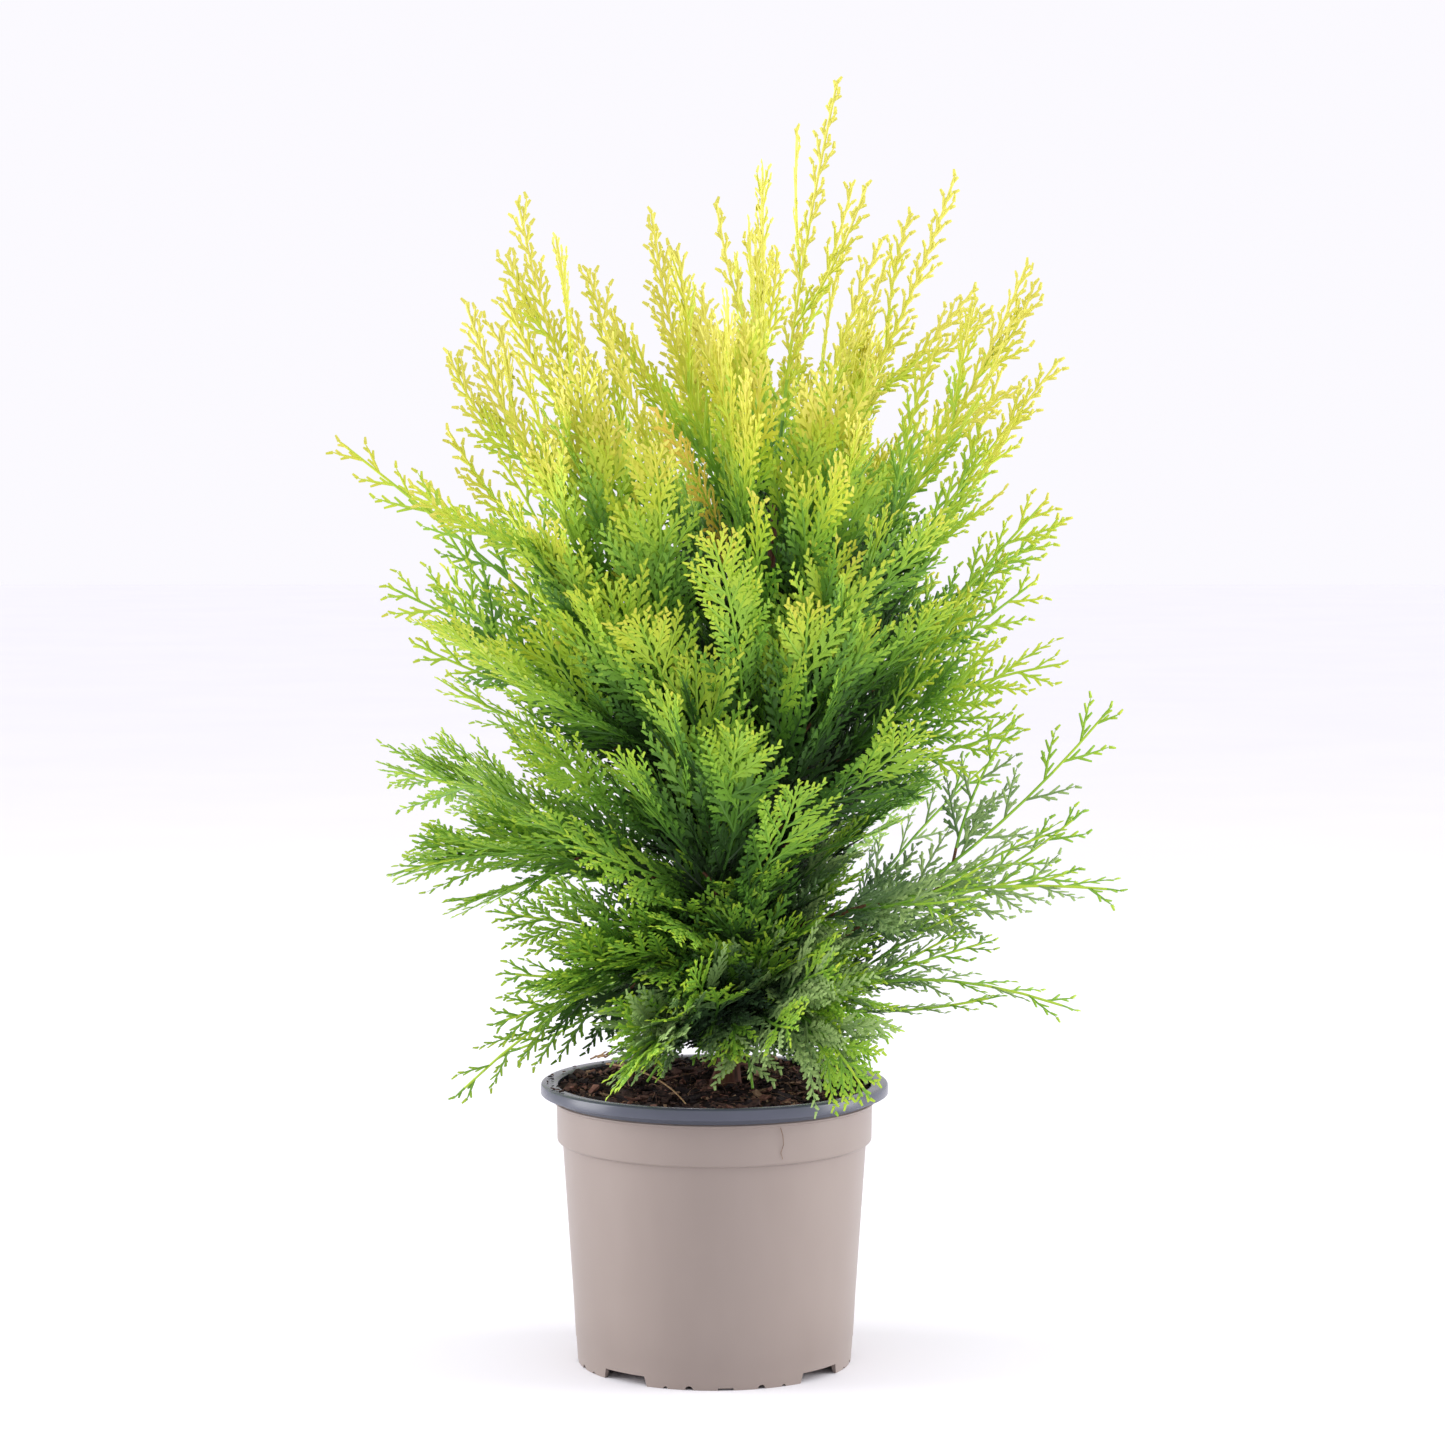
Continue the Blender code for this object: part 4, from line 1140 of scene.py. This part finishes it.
def soil_height(x, y):
    """Heaped and rough, calm round the trunk and lower along the pot's wall."""
    out = hypot(x, y)
    heap = SOIL_HEAP * cos(0.5 * pi * min(1.0, out / HEAP_R))
    back = SOIL_TILT * y / HEAP_R
    rough = sum(
        size * noise.noise(Vector((x, y, level)) * scale) for size, scale, level in SOIL_LUMPS
    )
    ease = min(1.0, max(0.0, (hypot(x - TRUNK_X, y) - CALM_R) / CALM_FADE))
    edge = 1.0 - EDGE_DROP * max(0.0, (out - EDGE_R) / EDGE_FADE)
    return SOIL_Z + (heap + back * edge + rough) * ease


def make_soil():
    """Top of the growing medium, finely broken, on a plug that fills the pot."""
    sides = SOIL_SIDES
    inset = POT_WALL + GAP
    wall = [
        (PAD_R - PLUG_EASE, inset),
        (CHANNEL_IN_R - PLUG_EASE, CHANNEL_Z + inset),
        (FOOT_R + PLUG_SLACK - inset, CHANNEL_Z + inset),
        (SHOULDER_R - PLUG_SLACK - inset, SHOULDER_Z),
        (SOIL_R, SOIL_Z - SOIL_SUNK),
    ]
    count = len(wall)
    verts, faces = turned(wall, sides, wall[0][1], SOIL_Z)
    verts.pop()
    faces = [face for face in faces if len(verts) not in face]
    ring = [k * count + count - 1 for k in range(sides)]
    for level in range(SOIL_RINGS, 0, -1):
        radius = SOIL_R * level / SOIL_RINGS
        inner = [len(verts) + k for k in range(sides)]
        for k in range(sides):
            x, y = polar(radius, tau * k / sides)
            verts.append((x, y, soil_height(x, y)))
            after = (k + 1) % sides
            faces.append((ring[k], ring[after], inner[after], inner[k]))
        ring = inner
    faces.append(tuple(ring))
    peat = earth_material("peat", (26, 20, 20), (62, 47, 43))
    dress(mesh_object("soil", verts, faces, [peat], smooth=True), "growing_medium")


def strewn(rule, reach):
    """Random place on the growing medium."""
    out = reach * sqrt(rule.random())
    return polar(out, rule.uniform(0, tau))


def chip(rule, place, length, width, thick):
    """Splinter of bark: a wedge with uneven corners."""
    turn = Matrix.Rotation(rule.uniform(0, tau), 3, "Z")
    lean = Matrix.Rotation(rule.gauss(0.0, CHIP_LEANS[0]), 3, "X")
    lean = lean @ Matrix.Rotation(rule.gauss(0.0, CHIP_LEANS[1]), 3, "Y")
    corners = []
    for z in (-1, 1):
        for x, y in ((-1, -1), (1, -1), (1, 1), (-1, 1)):
            taper = CHIP_TAPER if x > 0 else 1.0
            point = Vector((
                0.5 * length * x * rule.uniform(0.75, 1.1),
                0.5 * width * y * taper * rule.uniform(0.6, 1.1),
                0.5 * thick * z * taper * rule.uniform(0.6, 1.1),
            ))
            corners.append(tuple(place + turn @ (lean @ point)))
    return np.array(corners)


CHIP_FACES = np.array([
    [0, 2, 1], [0, 3, 2], [4, 5, 6], [4, 6, 7], [0, 1, 5], [0, 5, 4],
    [1, 2, 6], [1, 6, 5], [2, 3, 7], [2, 7, 6], [3, 0, 4], [3, 4, 7],
])


def make_chips():
    """Bark chips and crumbs that lie on the growing medium, a few of them on the rim."""
    rule = random.Random(f"{SEED}-chips")
    heap = Heap()
    for index in range(CHIP_COUNT):
        x, y = strewn(rule, SOIL_R * CHIP_REACH)
        length = rule.uniform(*CHIP_LENGTHS[index % BIG_CHIP_EVERY == 0])
        width = length * rule.uniform(*CHIP_WIDTHS)
        thick = min(CHIP_THICKEST, length * rule.uniform(*CHIP_THICKS))
        length *= NEAR_STEM if hypot(x - TRUNK_X, y) < STEM_CLEAR_R else 1.0
        lift = 0.25 * thick + rule.uniform(0.0, CHIP_LIFT)
        place = Vector((x, y, soil_height(x, y) + lift))
        slot = rule.choices(range(len(CHIP_SHARES)), CHIP_SHARES)[0]
        heap.add(chip(rule, place, length, width, thick), CHIP_FACES, np.full(12, slot))
    for azimuth, spread, count in CRUMBS:
        for _ in range(count):
            angle = radians(azimuth + rule.gauss(0.0, spread))
            spot = Vector((*polar(rule.uniform(*CRUMB_OUT), angle), FLANGE_Z + CRUMB_LIFT))
            length = rule.uniform(*CRUMB_LENGTHS)
            crumb = chip(rule, spot, length, 0.45 * length, 0.3 * length)
            heap.add(crumb, CHIP_FACES, np.full(12, rule.randrange(4)))
    materials = [earth_material(name, *tones) for name, tones in CHIP_COLOURS.items()]
    dress(heap.build("bark_chips", materials))


def arc(start, middle, end, count):
    """Points of a curve through the middle."""
    start, middle, end = Vector(start), Vector(middle), Vector(end)
    curve = (start, 2.0 * middle - 0.5 * (start + end), end)
    return [bend(curve, t) for t in steps(0.0, 1.0, count)]


def make_fibres():
    """Loose fibres, one long dry straw on the soil, and a thin fibre caught on the pot."""
    rule = random.Random(f"{SEED}-fibres")
    verts, faces, slots = [], [], []

    def lay(points, radius, slot):
        radii = steps(radius, FIBRE_TAPER * radius, len(points))
        slots.extend([slot] * add_tube(verts, faces, points, radii, FIBRE_SIDES))

    for _ in range(FIBRE_COUNT):
        x, y = strewn(rule, FIBRE_OUT)
        ends = []
        span = rule.uniform(*FIBRE_SPANS)
        turn = rule.uniform(0, tau)
        for sign in (-0.5, 0.5):
            px, py = x + sign * span * cos(turn), y + sign * span * sin(turn)
            ends.append(Vector((px, py, soil_height(px, py) + rule.uniform(*FIBRE_LIFTS))))
        bow = Vector((rule.gauss(0, 0.15), rule.gauss(0, 0.15), rule.uniform(0.0, 0.25))) * span
        points = arc(ends[0], (ends[0] + ends[1]) / 2 + bow, ends[1], FIBRE_POINTS)
        lay(points, rule.uniform(*FIBRE_RADII), rule.randrange(2))
    for *route, radius, slot in STRANDS:
        lay(arc(*route), radius, slot)
    lay([Vector((x, -CAUGHT_OUT * share, z)) for x, share, z in CAUGHT_FIBRE], CAUGHT_R, 1)
    materials = [
        earth_material("fibre_dark", (58, 42, 36), (96, 72, 60), 0.8),
        earth_material("fibre_brown", (104, 78, 60), (150, 120, 94), 0.8),
        earth_material("straw", (140, 108, 76), (188, 156, 118), 0.7),
    ]
    dress(mesh_object("fibres", verts, faces, materials, slots, smooth=True))


def make_dead_sprig():
    """Dry tan scrap of foliage that lies at the back left of the soil."""
    rule = random.Random(f"{SEED}-sprig")
    rows = []
    for k in range(SPRIG_SPRAYS):
        turn = radians(rule.uniform(-60, 60))
        run = Vector((cos(turn), 0.4 * sin(turn), rule.uniform(0.05, 0.55))).normalized()
        normal = run.cross(Vector((0.0, 1.0, 0.2))).normalized()
        root = SPRIG_FOOT + Vector((0.004 * k, rule.uniform(-0.004, 0.004), 0.0))
        size = rule.uniform(0.007, 0.013)
        rows.append((*root, *run, 0.0, 0.0, 0.0, *normal, size, 0.0, 0, 0, 1.0))
    heap = grow_sprays(rows, np.random.default_rng(SEED))
    tan = foliage_material("dry_tan", (178, 140, 100))
    dress(heap.build("dead_sprig", [tan] * (len(GREENS) + len(BLUES) + 1)))


# Studio


def aim(obj, place, target):
    obj.location = place
    obj.rotation_euler = (target - place).to_track_quat("-Z", "Y").to_euler()


def make_studio():
    """Pale floor and backdrop, a soft box on either side and a weak sun overhead."""
    scene = bpy.context.scene
    scene.view_settings.view_transform = "Standard"
    world = bpy.data.worlds.new("studio")
    world.use_nodes = True
    world.node_tree.nodes["Background"].inputs["Color"].default_value = BACKDROP
    scene.world = world
    corners = [(x * FLOOR_HALF, y * FLOOR_HALF, 0) for x, y in ((-1, -1), (1, -1), (1, 1), (-1, 1))]
    pale, shader = base_material("floor_pale", (238, 237, 241), 0.85, 0.1)
    cloud = object_noise(pale, 3.0, detail=2.0)
    tint(pale, shader, cloud, (0.3, (237, 236, 240)), (0.7, (239, 238, 242)))
    mesh_object("floor", corners, [(0, 1, 2, 3)], [pale])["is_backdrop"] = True
    for name, side in (("left_box", -1.0), ("right_box", 1.0)):
        box = bpy.data.lights.new(name, "AREA")
        box.shape = "RECTANGLE"
        box.size, box.size_y = BOX_SIZE
        box.energy = BOX_ENERGY
        aim(placed(name, box), Vector((side * BOX_OUT, 0.0, BOX_Z)), BOX_TARGET)
    sun = bpy.data.lights.new("overhead", "SUN")
    sun.energy = SUN_ENERGY
    sun.angle = SUN_ANGLE
    placed("overhead", sun).rotation_euler = (SUN_TILT, 0.0, 0.0)


def make_camera():
    camera = bpy.data.cameras.new("camera")
    camera.lens = CAMERA_LENS
    camera.clip_start = 0.05
    camera.clip_end = 100.0
    obj = placed("camera", camera)
    aim(obj, CAMERA_PLACE, CAMERA_TARGET)
    bpy.context.scene.camera = obj


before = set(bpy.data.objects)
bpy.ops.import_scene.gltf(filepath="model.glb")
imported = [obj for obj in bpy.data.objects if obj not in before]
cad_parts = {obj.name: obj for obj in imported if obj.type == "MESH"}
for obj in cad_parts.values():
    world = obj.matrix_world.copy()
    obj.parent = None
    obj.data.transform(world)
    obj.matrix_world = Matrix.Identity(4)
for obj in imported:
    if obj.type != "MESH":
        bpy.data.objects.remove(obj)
solid_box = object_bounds()
make_camera()
make_studio()
make_pot()
make_soil()
make_chips()
make_fibres()
make_dead_sprig()
make_wood()
palette = [foliage_material(f"green_{k}", colour) for k, colour in enumerate(GREENS)]
palette += [foliage_material(f"blue_green_{k}", colour) for k, colour in enumerate(BLUES)]
palette.append(foliage_material("amber", AMBER))
make_twigs(palette)
for mass in mass_plan():
    make_foliage(mass, palette)
boxes = {"solids": solid_box, "looks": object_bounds()}
{k: [list(map(float, c)) for c in v] for k, v in boxes.items()}
